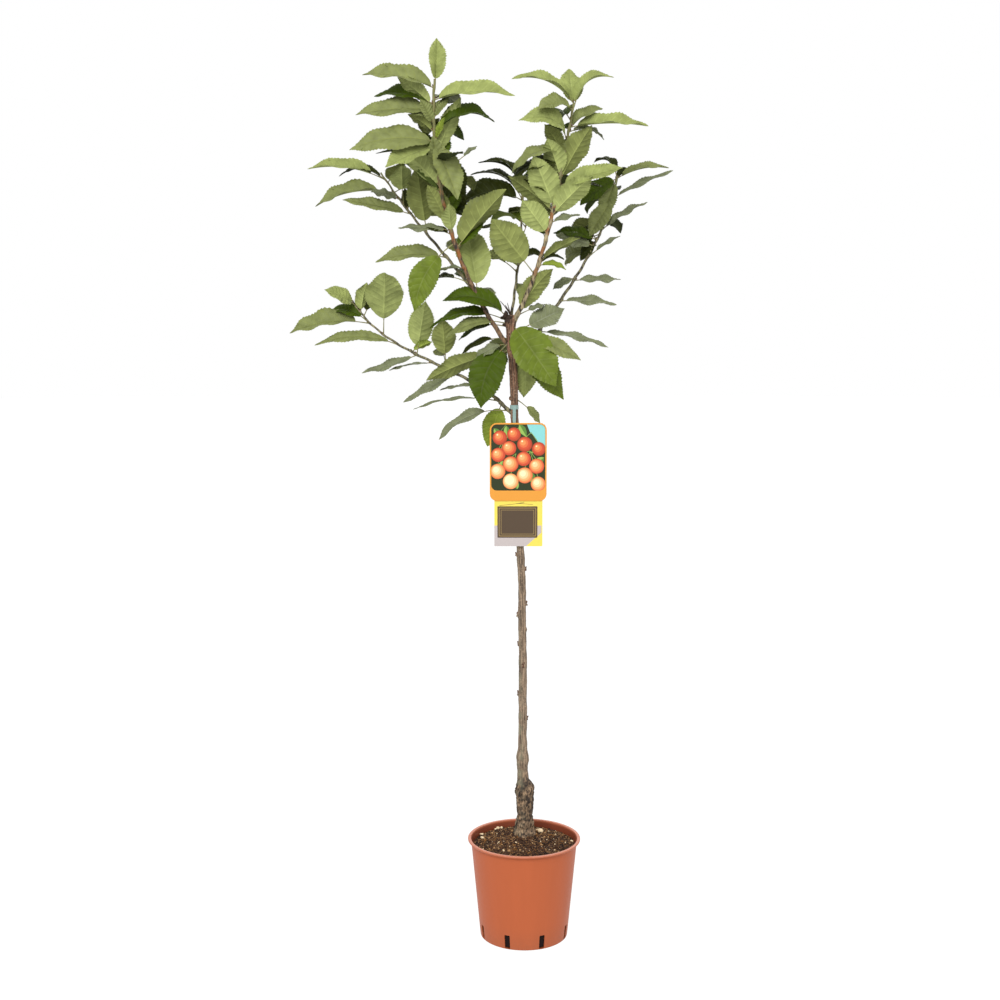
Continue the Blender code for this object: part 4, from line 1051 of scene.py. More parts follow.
def trunk_rings():
    """Height, centre and radius of each level ring of the trunk's solid."""
    rings, before = [], None
    for place in sorted((vert.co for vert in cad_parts["trunk"].data.vertices), key=lambda co: co.z):
        if before is None or place.z - before > RING_STEP:
            rings.append([])
        rings[-1].append(place)
        before = place.z
    found = []
    for ring in rings:
        # The circle that fits them best, since a level may lack some of its vertices
        x, y, z = np.array(ring).T
        known = np.stack((2 * x, 2 * y, np.ones(len(ring))), axis=1)
        side, depth, rest = np.linalg.lstsq(known, x ** 2 + y ** 2, rcond=None)[0]
        found.append((float(z[0]), float(side), float(depth), float((rest + side ** 2 + depth ** 2) ** 0.5)))
    return found


TRUNK_RINGS = trunk_rings()


def trunk_place(height):
    """Centre and radius of the trunk at a height."""
    heights, sides, depths, radii = zip(*TRUNK_RINGS)
    x, y, radius = (float(np.interp(height, heights, values)) for values in (sides, depths, radii))
    return Vector((x, y, height)), radius


TRUNK_SIDES = 44
TRUNK_SUNK = 0.004
LENTICELS = 260
# Lumps of dead wood round the pruned leader: bearing in degrees, rise, distance out and half size
KNOB_LUMPS = (
    (200, 0.002, 0.007, 0.0052),
    (150, 0.008, 0.004, 0.0046),
    (250, -0.007, 0.003, 0.0044),
    (225, 0.007, 0.006, 0.0038),
    (185, -0.012, 0.005, 0.0042),
    (100, 0.003, 0.003, 0.0046),
    (175, 0.000, 0.011, 0.0036),
    (265, 0.001, 0.005, 0.0040),
    (130, -0.005, 0.007, 0.0040),
)
# Dry twigs on it: bearing, lean upwards and length
DRY_TWIGS = ((120, 2.2, 0.026), (165, 1.4, 0.034), (215, 1.7, 0.022), (60, 2.6, 0.018))


def bark_relief(settings, heights, bearings, points):
    """How far the bark stands out from the trunk's smooth shape at each point."""
    old = np.clip((0.315 - heights) / 0.03, 0, 1)[:, None]
    rough = noise_over(points, (170, 170, 60))
    fine = noise_over(points, (520, 520, 310))
    soft = noise_over(points, (60, 60, 45))
    fissures = 0.6 - np.abs(rough) * 3.2
    relief = old * settings.fissure * (fissures + 0.4 * fine)
    relief += (1 - old) * settings.ripple * (soft * 1.6 + 0.5 * fine)
    random = np.random.default_rng(SEED + 2)
    for height, bearing, wide in zip(random.uniform(0.31, 1.18, LENTICELS), random.uniform(0, tau, LENTICELS),
                                     random.uniform(0.0014, 0.0034, LENTICELS)):
        add_mark(relief, heights, bearings, height, bearing, settings.lenticel, (wide, 0.0006))
    for knot in KNOTS:
        add_mark(relief, heights, bearings, knot.height, radians(knot.bearing), knot.rise, (knot.spread,) * 2)
    return relief * strap_clearance(heights)[:, None]


def noise_over(points, pitch):
    """Smooth noise at each of the points, with so many waves to the metre along each axis."""
    return np.array([[noise.noise(Vector(point)) for point in ring * np.array(pitch)] for ring in points])


def add_mark(relief, heights, bearings, height, bearing, rise, spread):
    """Raise a rounded mark of a given spread across and along at one place of the trunk."""
    radius = trunk_place(height)[1]
    across = radius * np.angle(np.exp(1j * (bearings - bearing))) / spread[0]
    along = (heights - height) / spread[1]
    rows = np.abs(along) < 3
    relief[rows] += rise * np.exp(-(along[rows, None] ** 2 + across[None, :] ** 2))


def strap_clearance(heights):
    """Nought where the label's strap lies on the bark, and one away from it."""
    middle, half = STRAP_HIGH.z - 0.004, 0.004
    return np.clip((np.abs(heights - middle) - half) / 0.004, 0, 1)


def build_trunk(settings):
    """The trunk with its bark's relief, its cut stub and its buds."""
    low, high = TRUNK_RINGS[0][0] - TRUNK_SUNK, TRUNK_RINGS[-1][0]
    count = round((high - low) / settings.ring_gap)
    heights = np.linspace(low, high, count + 1)
    bearings = np.arange(TRUNK_SIDES) * tau / TRUNK_SIDES
    centres, radii = zip(*(trunk_place(height) for height in heights))
    spokes = np.stack((np.cos(bearings), np.sin(bearings), np.zeros(TRUNK_SIDES)), axis=1)
    smooth = np.array(centres)[:, None, :] + spokes[None] * np.array(radii)[:, None, None]
    smooth[:, :, 2] = heights[:, None]
    relief = bark_relief(settings, heights, bearings, smooth)
    points = smooth + spokes[None] * relief[:, :, None]
    heap = Heap()
    vertices = points.reshape(-1, 3)
    middle = np.append(points[-1].mean(axis=0)[:2], high - 0.0004)
    closing = [middle + (points[-1] - middle) * share for share in (0.7, 0.3)]
    vertices = np.concatenate([vertices] + closing)
    rings = count + 3
    faces = []
    for ring in range(rings - 1):
        for side in range(TRUNK_SIDES):
            after = (side + 1) % TRUNK_SIDES
            near, far = ring * TRUNK_SIDES, (ring + 1) * TRUNK_SIDES
            faces.append((near + side, near + after, far + after, far + side))
    faces.append(tuple(reversed(range(TRUNK_SIDES))))
    faces.append(tuple(range((rings - 1) * TRUNK_SIDES, rings * TRUNK_SIDES)))
    heap.add(vertices, faces)
    bark = cherry_bark(settings)
    add_piece("trunk_bark_relief", heap, [bark], ["trunk"], 80)

    spurs, ball = Heap(), unit_ball()
    random = np.random.default_rng(SEED + 4)
    stub, radius = trunk_place(1.053)
    way = Vector((-0.75, -0.62, 0.25)).normalized()
    ends = [stub + way * reach for reach in (radius * 0.5, radius + 0.0018, radius + 0.0030, radius + 0.0034)]
    spurs.add(*tube(ends, (0.0052, 0.0046, 0.0040, 0.0026), 14))
    for knot in KNOTS:
        if knot.spread < 0.004 and knot.rise > 0.0011:
            centre, radius = trunk_place(knot.height)
            out = Vector((cos(radians(knot.bearing)), sin(radians(knot.bearing)), 0))
            base = centre + out * (radius + knot.rise * 0.3)
            spurs.add(*drop(base, (out + UP * 1.8).normalized(), 0.0050, 0.0015, 9), 1)
            for _ in range(6):
                spot = base + Vector(random.normal(0, 0.0010, 3)) + UP * random.normal(-0.001, 0.0022)
                size = random.uniform(0.0010, 0.0022) * np.array((1.0, 1.0, 1.3))
                spurs.add(pebble(random, spot, size, ball), ball[1], int(random.integers(0, 2)))
    for bearing, rise, out, size in KNOB_LUMPS:
        centre, radius = trunk_place(TRUNK_RINGS[-1][0] - 0.006)
        way = Vector((cos(radians(bearing)), sin(radians(bearing)), 0))
        spot = centre + way * (radius * 0.4 + out) + UP * rise
        spurs.add(pebble(random, spot, size * np.array((1.5, 1.0, 0.8)), ball), ball[1], 2)
    for bearing, lean, long in DRY_TWIGS:
        way = Vector((cos(radians(bearing)), sin(radians(bearing)), lean)).normalized()
        foot = trunk_place(TRUNK_RINGS[-1][0])[0]
        points = [foot + way * (long * step / 4) + UP * (0.05 * long * sin(step)) for step in range(5)]
        spurs.add(*tube(points, [0.0013 - 0.0002 * step for step in range(5)], 7), 2)
    dead = earthen("Dead wood, weathered", settings.knob, 5)
    add_piece("trunk_spurs", spurs, [bark, bud_scales(settings), dead])


def bud_scales(settings):
    """Cherry bud scales: hard, dark red-brown and slightly glossy."""
    return earthen("Bud scales, resinous", settings.bud, 1.5, 0.55)


def shoot_foot(shoot):
    """The point on the carrier's own centre line that a shoot starts from."""
    if shoot.carrier == "trunk":
        return trunk_place(shoot.foot)[0]
    return shoot_point(SHOOTS[shoot.carrier], shoot.foot)


def shoot_point(shoot, share):
    """Point of a shoot's centre line at a share of the way from foot to tip."""
    low = 3 * share * (1 - share) ** 2
    high = 3 * share ** 2 * (1 - share)
    straight = shoot_foot(shoot).lerp(Vector(shoot.tip), share)
    return straight + low * Vector(shoot.low_bow) + high * Vector(shoot.high_bow)


def carrier_place(name, at):
    """Centre, direction and radius of a limb at a share of a shoot, or at a height of the trunk."""
    if name == "trunk":
        centre, radius = trunk_place(at)
        return centre, UP, radius
    shoot = SHOOTS[name]
    along = (shoot_point(shoot, at + 0.01) - shoot_point(shoot, at - 0.01)).normalized()
    return shoot_point(shoot, at), along, shoot.foot_radius + (shoot.tip_radius - shoot.foot_radius) * at


def habit_leaf(name, habit, random, settings):
    """A leaf of the crown's outline."""
    clock, toward = radians(habit.clock), radians(habit.toward)
    roll = radians(habit.roll + random.normal(0, 3))
    along = Vector((cos(clock) * cos(toward), -sin(toward), sin(clock) * cos(toward)))
    level = VIEWER.cross(along).normalized()
    if level.z < -0.2 or (level.z <= 0.2 and level.x > 0):
        level = -level
    facing = level.cross(along)
    if facing.dot(VIEWER) < 0:
        facing = -facing
    centre, axis, radius = carrier_place(name, habit.at)
    out = along - axis * along.dot(axis)
    base = centre + out.normalized() * radius * 0.8
    return Leaf(base, along, level * cos(roll) + facing * sin(roll), habit.length / 1000, habit.width / 1000,
                habit.arch, radians(habit.fold), random.normal(0, 0.15), habit.bend, habit.stalk, habit.shade,
                axis)


def rule_leaf(base, axis, heading, long, random, settings):
    """A leaf that the growth rule adds, held with its upper side to the light."""
    level = (UP - heading * heading.dot(UP)).normalized()
    roll = random.normal(0, 0.25)
    upper = level * cos(roll) + level.cross(heading) * sin(roll)
    shade = str(random.choice(SHADES, p=(0.20, 0.26, 0.14, 0.16, 0.14, 0.07, 0.03)))
    return Leaf(base, heading, upper, long, long * random.uniform(0.43, 0.50), random.uniform(0.04, 0.20),
                radians(random.uniform(18, 36)), random.normal(0, 0.25), random.normal(0, 0.025),
                settings.petiole_share * random.uniform(0.85, 1.3), shade, axis)


def keep_in_depth(leaf):
    """Shorten a leaf that would reach out of the crown towards the viewer or away from it."""
    tip = leaf.base.y + leaf.along.y * leaf.length
    low, high = CAD_BOX[0][1] + 0.004, CAD_BOX[1][1] - 0.004
    if low < tip < high or abs(leaf.along.y) < 0.05:
        return leaf
    room = ((low if tip <= low else high) - leaf.base.y) / leaf.along.y
    share = max(0.3, room / leaf.length)
    return leaf._replace(length=leaf.length * share, width=leaf.width * share)


def grow(bark, settings):
    """Grow the crown: every leaf by its limb, and every spur as its line of points and its radii."""
    random = np.random.default_rng(SEED)
    leaves = {name: [habit_leaf(name, habit, random, settings) for habit in HABITS[name]] for name in FOLIAGE}
    spurs = []
    for name, shoot in SHOOTS.items():
        span = (Vector(shoot.tip) - shoot_foot(shoot)).length
        nodes = int(span * (RULE_END - shoot.leafy) / bark.node_gap)
        for node in range(nodes):
            at = shoot.leafy + (RULE_END - shoot.leafy) * (node + 0.5) / nodes
            centre, axis, radius = carrier_place(name, at)
            across = axis.orthogonal().normalized()
            turn = DIVERGENCE * node + random.normal(0, 0.2)
            out = across * cos(turn) + axis.cross(across) * sin(turn)
            level = Vector((out.x, out.y, 0)).normalized()
            rise = radians(random.normal(8 - 26 * (1 - at), 10))
            if at > LEAFY_BACK and abs(level.y) < DEPTH_SHARE:
                level = Vector((level.y * 0.6, abs(level.x), 0)).normalized()
            if level.x * centre.x > OUTWARD * abs(centre.x):
                level.x = -level.x
            heading = level * cos(rise) + UP * sin(rise)
            long = random.uniform(0.095, 0.135) * (1 - 0.25 * at)
            if node % SPUR_EVERY == 2 and at < 0.75 and heading.y > 0:
                spurs.append(spur(centre, axis, heading, radius, random))
                tip = spurs[-1][0][-1]
                for leaf in range(3):
                    swing = heading.copy()
                    swing.rotate(Euler((0, 0, radians(60) * (leaf - 1) + random.normal(0, 0.15))))
                    if abs(swing.y) > DEPTH_SHARE:
                        leaves[name].append(rule_leaf(tip, axis, swing, long * 0.85, random, settings))
            elif heading.y > DEPTH_SHARE or -END_ON < heading.y < -DEPTH_SHARE:
                base = centre + out * radius * 0.8
                leaves[name].append(rule_leaf(base, axis, heading, long, random, settings))
    return {name: [keep_in_depth(leaf) for leaf in found] for name, found in leaves.items()}, spurs


def spur(centre, axis, heading, radius, random):
    """A short side twig: the line of its points and their radii."""
    long = random.uniform(0.022, 0.050)
    way = (heading + axis * 0.8).normalized()
    points = [centre + way * (long * step / 5) + UP * (0.1 * long * (step / 5) ** 2) for step in range(6)]
    return points, [radius * 0.62 * (1 - 0.4 * step / 5) for step in range(6)]


SHOOT_STEP = 0.0025
SHOOT_SIDES = 12
NODE_SWELL = 0.20
ZIGZAG = 0.0006


def build_shoots(settings, leaf_settings):
    """The shoots with their swollen nodes, the spurs on them, and a bud above every leaf."""
    leaves, spurs = grow(settings, leaf_settings)
    barks = [shoot_bark("Cherry shoot, brown bark", settings.brown_shoot, 1, settings),
             shoot_bark("Cherry shoot, pale bark", settings.pale_shoot, 0.85, settings),
             shoot_bark("Cherry shoot, olive bark", settings.olive_shoot, 0, settings)]
    limbs = Heap()
    for name, shoot in SHOOTS.items():
        span = (Vector(shoot.tip) - shoot_foot(shoot)).length
        count = round(span / SHOOT_STEP)
        nodes = [habit.at for habit in HABITS[name]]
        points, radii = [], []
        for step in range(count + 1):
            at = step / count
            centre, axis, radius = carrier_place(name, at)
            swell = sum(2.72 ** -(((at - node) * span / 0.0035) ** 2) for node in nodes)
            across = axis.cross(VIEWER).normalized()
            points.append(centre + across * ZIGZAG * sin(pi * at * span / settings.node_gap))
            radii.append(radius * (1 + NODE_SWELL * min(1, swell) + 0.05 * noise.noise(centre * 400)))
        limbs.add(*tube(points, radii, SHOOT_SIDES), shoot.bark)
    replaced = ["bough_" + name for name in SHOOTS]
    add_piece("shoots", limbs, barks, replaced)

    twigs = Heap()
    for points, radii in spurs:
        twigs.add(*tube(points, radii, 9))
    add_piece("spur_twigs", twigs, barks)

    buds = Heap()
    for found in leaves.values():
        for leaf in found:
            way = (leaf.node_axis + leaf.along * 0.45).normalized()
            buds.add(*drop(leaf.base + leaf.node_axis * 0.0018, way, 0.0046, 0.0014))
    add_piece("buds", buds, [bud_scales(settings)])


Template = namedtuple("Template", "rows bulge faces kinds")
TOP, UNDER, TOP_RIB, UNDER_RIB = range(4)


def leaf_template(veins):
    """Row lines, quilting and faces that every blade shares; upper and lower skin meet at the margin."""
    rows, bulge = [], []
    for vein in range(veins):
        rows.append(vein / veins)
        bulge.append(0)
        for step in range(FIELD_ROWS):
            rows.append((vein + VEIN_STRIP + (1 - VEIN_STRIP) * step / FIELD_ROWS) / veins)
            bulge.append(sin(pi * step / FIELD_ROWS))
    rows.append(1)
    bulge.append(0)
    count, wide = len(rows), len(LEAF_COLUMNS)
    top = np.arange(count * wide).reshape(count, wide)
    under = top.copy()
    inner = (count - 2) * (wide - 2)
    under[1:-1, 1:-1] = count * wide + np.arange(inner).reshape(count - 2, wide - 2)
    faces, kinds = [], []
    for row in range(count - 1):
        for column in range(wide - 1):
            beside_midrib = abs(LEAF_COLUMNS[column] + LEAF_COLUMNS[column + 1]) < 0.1
            on_vein = row % (FIELD_ROWS + 1) == 0 and 0 < column < wide - 2
            corners = ((row, column), (row, column + 1), (row + 1, column + 1), (row + 1, column))
            faces.append(tuple(int(top[corner]) for corner in corners))
            faces.append(tuple(int(under[corner]) for corner in reversed(corners)))
            ribbed = beside_midrib or on_vein
            kinds += [TOP_RIB if ribbed else TOP, UNDER_RIB if ribbed else UNDER]
    return Template(np.array(rows), np.array(bulge), faces, kinds)


def blade_outline(place):
    """Half width of a cherry blade along its midrib: a full oval with a round base and a drawn-out point."""
    full = np.sin(pi * np.clip(place, 0, 1) ** 0.92) ** 0.55
    return np.clip(full * (1 - 0.75 * place ** 6), 0.015, 1)


def blade_points(leaf, template, settings, random):
    """Vertices of one blade: arched along its midrib, folded, quilted, waved and toothed."""
    rows, columns = template.rows[:, None], LEAF_COLUMNS[None, :]
    reach, side_sign = np.abs(columns), np.sign(columns)
    place = rows + VEIN_SLANT * reach * np.sin(pi * rows)
    half = leaf.width / 2 * blade_outline(place)
    teeth = np.where(np.arange(len(template.rows)) % 2 == 0, 1.0, -1.0)[:, None]
    uneven = random.uniform(0.4, 1.4, (len(template.rows), 1))
    half = half + settings.tooth * teeth * uneven * (reach == 1) * np.sin(pi * rows) ** 0.5
    fold = leaf.fold * (1 - 0.35 * place)
    across = side_sign * reach * half * np.cos(fold)
    phases = np.where(columns < 0, random.uniform(0, tau), random.uniform(0, tau))
    height = WAVE.get(leaf.shade, COMMON_WAVE) * leaf.width
    wave = height * reach ** 2 * np.sin(tau * random.uniform(1.6, 2.8) * place + phases)
    curl = -0.12 * half * reach ** 3
    quilt = settings.pleat * template.bulge[:, None] * np.clip(1 - (2 * reach - 1.05) ** 2, 0, 1)
    lift = reach * half * np.sin(fold) + (wave + curl + quilt) * np.sin(pi * np.clip(rows, 0, 1)) ** 0.5
    lift = lift - settings.thickness * (reach < 0.01)
    run = leaf.petiole + (1 - leaf.petiole) * place
    slope = leaf.arch * 4 * (1 - 2 * run)
    scale = 1 / np.sqrt(1 + slope ** 2)
    along, upper = np.array(leaf.along), np.array(leaf.upper)
    side = np.cross(along, upper)
    bow = leaf.length * 4 * run * (1 - run)
    centre = (np.array(leaf.base) + along * (leaf.length * run)[..., None]
              + upper * (leaf.arch * bow)[..., None] + side * (leaf.bend * bow)[..., None])
    normal = (upper - along * slope[..., None]) * scale[..., None]
    turn = leaf.twist * (place - 0.3)
    width_way = side * np.cos(turn)[..., None] + normal * np.sin(turn)[..., None]
    height_way = normal * np.cos(turn)[..., None] - side * np.sin(turn)[..., None]
    top = centre + width_way * across[..., None] + height_way * lift[..., None]
    ridge = settings.rib * np.clip(1 - reach / 0.1, 0, 1) * (1 - 0.7 * place)
    under = top - height_way * (settings.thickness + ridge)[..., None]
    return np.concatenate((top.reshape(-1, 3), under[1:-1, 1:-1].reshape(-1, 3)))


def stalk_parts(leaf, settings):
    """The petiole's points and radii, and the places of its two glands just under the blade."""
    side = leaf.along.cross(leaf.upper)

    def point(run):
        bow = (leaf.upper * leaf.arch + side * leaf.bend) * (4 * run * (1 - run))
        return leaf.base + (leaf.along * run + bow) * leaf.length

    end = leaf.petiole + 0.03
    points = [point(end * step / PETIOLE_POINTS) for step in range(PETIOLE_POINTS + 1)]
    radii = [settings.petiole * (1.25 - 0.55 * step / PETIOLE_POINTS) for step in range(PETIOLE_POINTS + 1)]
    glands = [point(leaf.petiole * 0.93) + side * (settings.petiole * 0.9 * sign) for sign in (-1, 1)]
    return points, radii, glands


def build_leaves(settings, bark_settings):
    """All the blades, joined by limb, and their stalks."""
    leaves, _ = grow(bark_settings, settings)
    template = leaf_template(settings.veins)
    materials = []
    # The pale tint's materials carry painted light, and the darkest tint's materials carry painted shade
    for shade in SHADES:
        top, under = getattr(settings, shade), getattr(settings, shade + "_under")
        materials.append(leaf_surface("Leaf upper side, waxy, " + shade, top, 0.48, 0.35))
        materials.append(leaf_surface("Leaf underside, matt, " + shade, under, 0.68, 0.5))
        materials.append(leaf_surface("Leaf veins, fibrous, " + shade, tint(under, 1.3)[:3], 0.6, 0.1))
    random = np.random.default_rng(SEED + 3)
    for name, found in leaves.items():
        heap = Heap()
        for leaf in found:
            shade = SHADES.index(leaf.shade)
            upper, under, veins = range(3 * shade, 3 * shade + 3)
            numbers = {TOP: upper, UNDER: under, TOP_RIB: under, UNDER_RIB: veins}
            points = blade_points(leaf, template, settings, random)
            heap.add(points, template.faces, [numbers[kind] for kind in template.kinds])
        nodes = ["foliage_" + mass for mass in FOLIAGE[name]]
        add_piece("leaves_" + name, heap, materials, nodes, 75)
    stalks = Heap()
    for found in leaves.values():
        for leaf in found:
            points, radii, glands = stalk_parts(leaf, settings)
            stalks.add(*tube(points, radii, 7), 0)
            for gland in glands:
                stalks.add(*drop(gland - leaf.upper * 0.0003, leaf.upper, 0.0012, 0.0006, 6), 1)
    green = leaf_surface("Leaf stalk, ribbed", settings.stalk, 0.5, 0.2)
    red = leaf_surface("Nectar gland, waxy", settings.gland, 0.35, 0.1)
    add_piece("leaf_stalks", stalks, [green, red])


def rounded(left, low, right, high, corner, steps=6):
    """Outline of a rectangle with round corners, as points across and up."""
    return (arc((right - corner, high - corner), corner, 0, 90, steps)
            + arc((left + corner, high - corner), corner, 90, 180, steps)
            + arc((left + corner, low + corner), corner, 180, 270, steps)
            + arc((right - corner, low + corner), corner, 270, 360, steps))


def leaf_outline(base, way, long, wide, steps=8):
    """Outline of a small printed leaf, from its base to its tip and back."""
    beside = (-way[1], way[0])
    points = []
    for sign in (-1, 1):
        shares = [step / steps for step in range(steps + 1)]
        for share in (shares[:-1] if sign < 0 else shares[:0:-1]):
            out = sign * wide / 2 * sin(pi * share ** 0.8)
            points.append((base[0] + way[0] * long * share + beside[0] * out,
                           base[1] + way[1] * long * share + beside[1] * out))
    return points


INKS = ("orange", "green", "leaf", "light_leaf", "turquoise", "yellow", "plaque", "tan", "lilac", "maroon")
CHERRY_TONES = 8

# Printed cherries: place across and down the picture as shares of it, size, and tone from red (0) to pale (3)
CHERRIES = (
    (0.16, 0.20, 1.00, 0), (0.42, 0.15, 0.95, 0), (0.62, 0.30, 1.05, 0), (0.33, 0.36, 1.00, 1),
    (0.88, 0.37, 0.95, 0), (0.13, 0.46, 0.98, 1), (0.60, 0.52, 1.00, 1), (0.36, 0.60, 1.08, 2),
    (0.84, 0.63, 1.04, 2), (0.12, 0.71, 1.05, 3), (0.62, 0.77, 1.10, 3), (0.36, 0.86, 1.08, 4),
    (0.87, 0.90, 1.02, 3),
)
# Stems run from each cherry's top up to these joints, given in the same shares
STEM_JOINTS = ((0.28, -0.03), (0.50, 0.06), (0.74, 0.12), (0.22, 0.26), (0.72, 0.40), (0.46, 0.44))
# Printed leaves: place of the base, way of the midrib in degrees, length in millimetres
PRINTED_LEAVES = (
    (0.05, 0.06, 310, 26), (0.28, 0.02, 275, 24), (0.52, 0.00, 300, 28), (0.74, 0.42, 20, 26),
    (0.22, 0.55, 250, 24), (0.50, 0.68, 330, 30), (0.74, 0.72, 280, 26), (0.24, 0.92, 40, 22),
    (0.98, 0.50, 215, 28), (0.48, 0.98, 100, 20),
)


class Sheet:
    """A printed face of a card: films of ink, each above the ones before, kept inside the picture's box."""

    def __init__(self, face, ink, box):
        self.heap = Heap()
        self.face = face
        self.ink = ink
        self.box = box

    def spot(self, across, down):
        """A place given in shares of the picture."""
        left, low, right, high = self.box
        return left + (right - left) * across, high - (high - low) * down

    def shape(self, outline, layer, index, clipped=True):
        """One flat shape of ink."""
        if clipped:
            left, low, right, high = self.box
            outline = [(min(max(x, left), right), min(max(z, low), high)) for x, z in outline]
        back = self.face - self.ink * layer
        count = len(outline)
        vertices = [(x, back, z) for x, z in outline] + [(x, back - self.ink, z) for x, z in outline]
        faces = [tuple(reversed(range(count))), tuple(range(count, 2 * count))]
        for step in range(count):
            after = (step + 1) % count
            faces.append((step, after, count + after, count + step))
        self.heap.add(vertices, faces, index)

    def line(self, start, end, wide, layer, index):
        """A straight line of ink."""
        way = np.subtract(end, start)
        beside = np.array((-way[1], way[0])) / hypot(*way) * wide / 2
        ends = np.array((start, end))
        self.shape([*(ends - beside), *(ends + beside)[::-1]], layer, index)

    def disc(self, centre, radius, layer, index, sides=26):
        """One round shape of ink."""
        self.shape([(centre[0] + radius * cos(tau * side / sides), centre[1] + radius * sin(tau * side / sides))
                    for side in range(sides)], layer, index)

    def cherry(self, centre, radius, layer, tone):
        """A cherry: tones that grow paler towards the light, and a small glint."""
        for step, share in enumerate((1.0, 0.90, 0.76, 0.58, 0.36)):
            off = radius * 0.34 * (1 - share)
            index = len(INKS) + min(tone + step, CHERRY_TONES - 1)
            self.disc((centre[0] - off, centre[1] + off), radius * share, layer + step, index)
        glint = (centre[0] - radius * 0.34, centre[1] + radius * 0.40)
        self.disc(glint, radius * 0.12, layer + 5, len(INKS) + CHERRY_TONES - 1, 12)

    def ring(self, outer, inner, layer, index):
        """A flat band of ink between two outlines of as many points."""
        back = self.face - self.ink * layer
        count = len(outer)
        vertices = [(x, back, z) for x, z in (*outer, *inner)]
        faces = [(step, (step + 1) % count, count + (step + 1) % count, count + step) for step in range(count)]
        self.heap.add(vertices, faces, index)


def cherry_tones(settings):
    """Tones of a printed cherry from its ripe side to its pale side."""
    stops = (tint(settings.red, 0.6)[:3], settings.red, settings.blush, settings.cream)
    places = np.linspace(0, len(stops) - 1, CHERRY_TONES)
    return [tuple(float(np.interp(place, range(len(stops)), [stop[channel] for stop in stops]))
                  for channel in range(3)) for place in places]


def build_label(settings):
    """Both cards' printed faces and the strap's film."""
    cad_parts["label_front_card"].material_slots[0].material = printed("Card, orange", settings.orange)
    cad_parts["label_back_card"].material_slots[0].material = printed("Card, yellow", settings.yellow)
    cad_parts["label_strap"].material_slots[0].material = strap_film(settings)
    inks = [printed("Ink, " + name, getattr(settings, name)) for name in INKS]
    inks += [printed("Ink, cherry tone", tone) for tone in cherry_tones(settings)]
    numbers = {name: number for number, name in enumerate(INKS)}

    margin = settings.margin
    left, right = FRONT_LOW.x + margin, FRONT_HIGH.x - margin
    low, high = FRONT_LOW.z + settings.band, FRONT_HIGH.z - margin
    front = Sheet(FRONT_LOW.y, settings.ink, (left, low, right, high))
    front.shape(rounded(left, low, right, high, 0.0005), 1, numbers["green"])
    sky = [front.spot(*share) for share in ((0.66, 0), (1, 0), (1, 0.34), (0.90, 0.30), (0.80, 0.18), (0.72, 0.12))]
    front.shape(sky[::-1], 2, numbers["turquoise"])
    for number, (across, down, bearing, long) in enumerate(PRINTED_LEAVES):
        way = (cos(radians(bearing)), sin(radians(bearing)))
        base = front.spot(across, down)
        layer = 3 + 2 * (number % 2)
        front.shape(leaf_outline(base, way, long / 1000, long / 2100), layer, numbers["leaf"])
        half = leaf_outline(base, way, long / 1000, long / 2100)
        front.shape(half[:len(half) // 2 + 1], layer + 1, numbers["light_leaf"])
    for number, (across, down, size, tone) in enumerate(CHERRIES):
        centre = front.spot(across, down)
        radius = settings.cherry * size
        joint = front.spot(*min(STEM_JOINTS, key=lambda place: hypot(place[0] - across, place[1] - down + 0.2)))
        front.line(joint, (centre[0], centre[1] + radius * 0.8), 0.0009, 8, numbers["light_leaf"])
        front.cherry(centre, radius, 10 + 6 * (number % 7), tone)
    edges = (FRONT_LOW.x + 0.0002, FRONT_LOW.z + 0.0002, FRONT_HIGH.x - 0.0002, FRONT_HIGH.z - 0.0002)
    front.ring(rounded(*edges, 0.0128), rounded(left, low, right, high, 0.0105), 54, numbers["orange"])
    add_piece("label_front_print", front.heap, inks, (), 30)

    bottom, top = BACK_LOW.z, FRONT_LOW.z
    left, right = BACK_LOW.x, BACK_HIGH.x
    wide = right - left
    back = Sheet(BACK_LOW.y, settings.ink, (left, bottom, right, BACK_HIGH.z))
    foot = ((left, bottom), (left + 0.66 * wide, bottom), (left + 0.80 * wide, bottom + 0.012),
            (left + 0.98 * wide, bottom + 0.026), (left + 0.98 * wide, bottom + 0.040), (left, bottom + 0.040))
    back.shape(foot, 1, numbers["lilac"])
    plaque = (left + 0.08 * wide, bottom + 0.018, right - 0.12 * wide, top - 0.012)
    frames = ((-0.0015, "plaque"), (0.0012, "tan"), (0.0024, "plaque"), (0.0052, "tan"), (0.0060, "plaque"))
    for layer, (inset, name) in enumerate(frames):
        sides = (plaque[0] + inset, plaque[1] + inset, plaque[2] - inset, plaque[3] - inset)
        back.shape(rounded(*sides, 0.0012), 2 + layer, numbers[name])
    for start, end in (((0.10, 0.045), (0.52, 0.075)), ((0.52, 0.075), (0.80, 0.060)), ((0.45, 0.070), (0.62, 0.090))):
        points = [(left + wide * across, top - 0.007 + 0.14 * (rise - 0.06)) for across, rise in (start, end)]
        back.line(*points, 0.0008, 2, numbers["plaque"])
    for x in (left, right - 0.010):
        patch = rounded(x + 0.0003, BACK_HIGH.z - 0.012, x + 0.0097, BACK_HIGH.z - 0.0003, 0.0008)
        back.shape(patch, 1, numbers["maroon"])
    add_piece("label_back_print", back.heap, inks, (), 30)


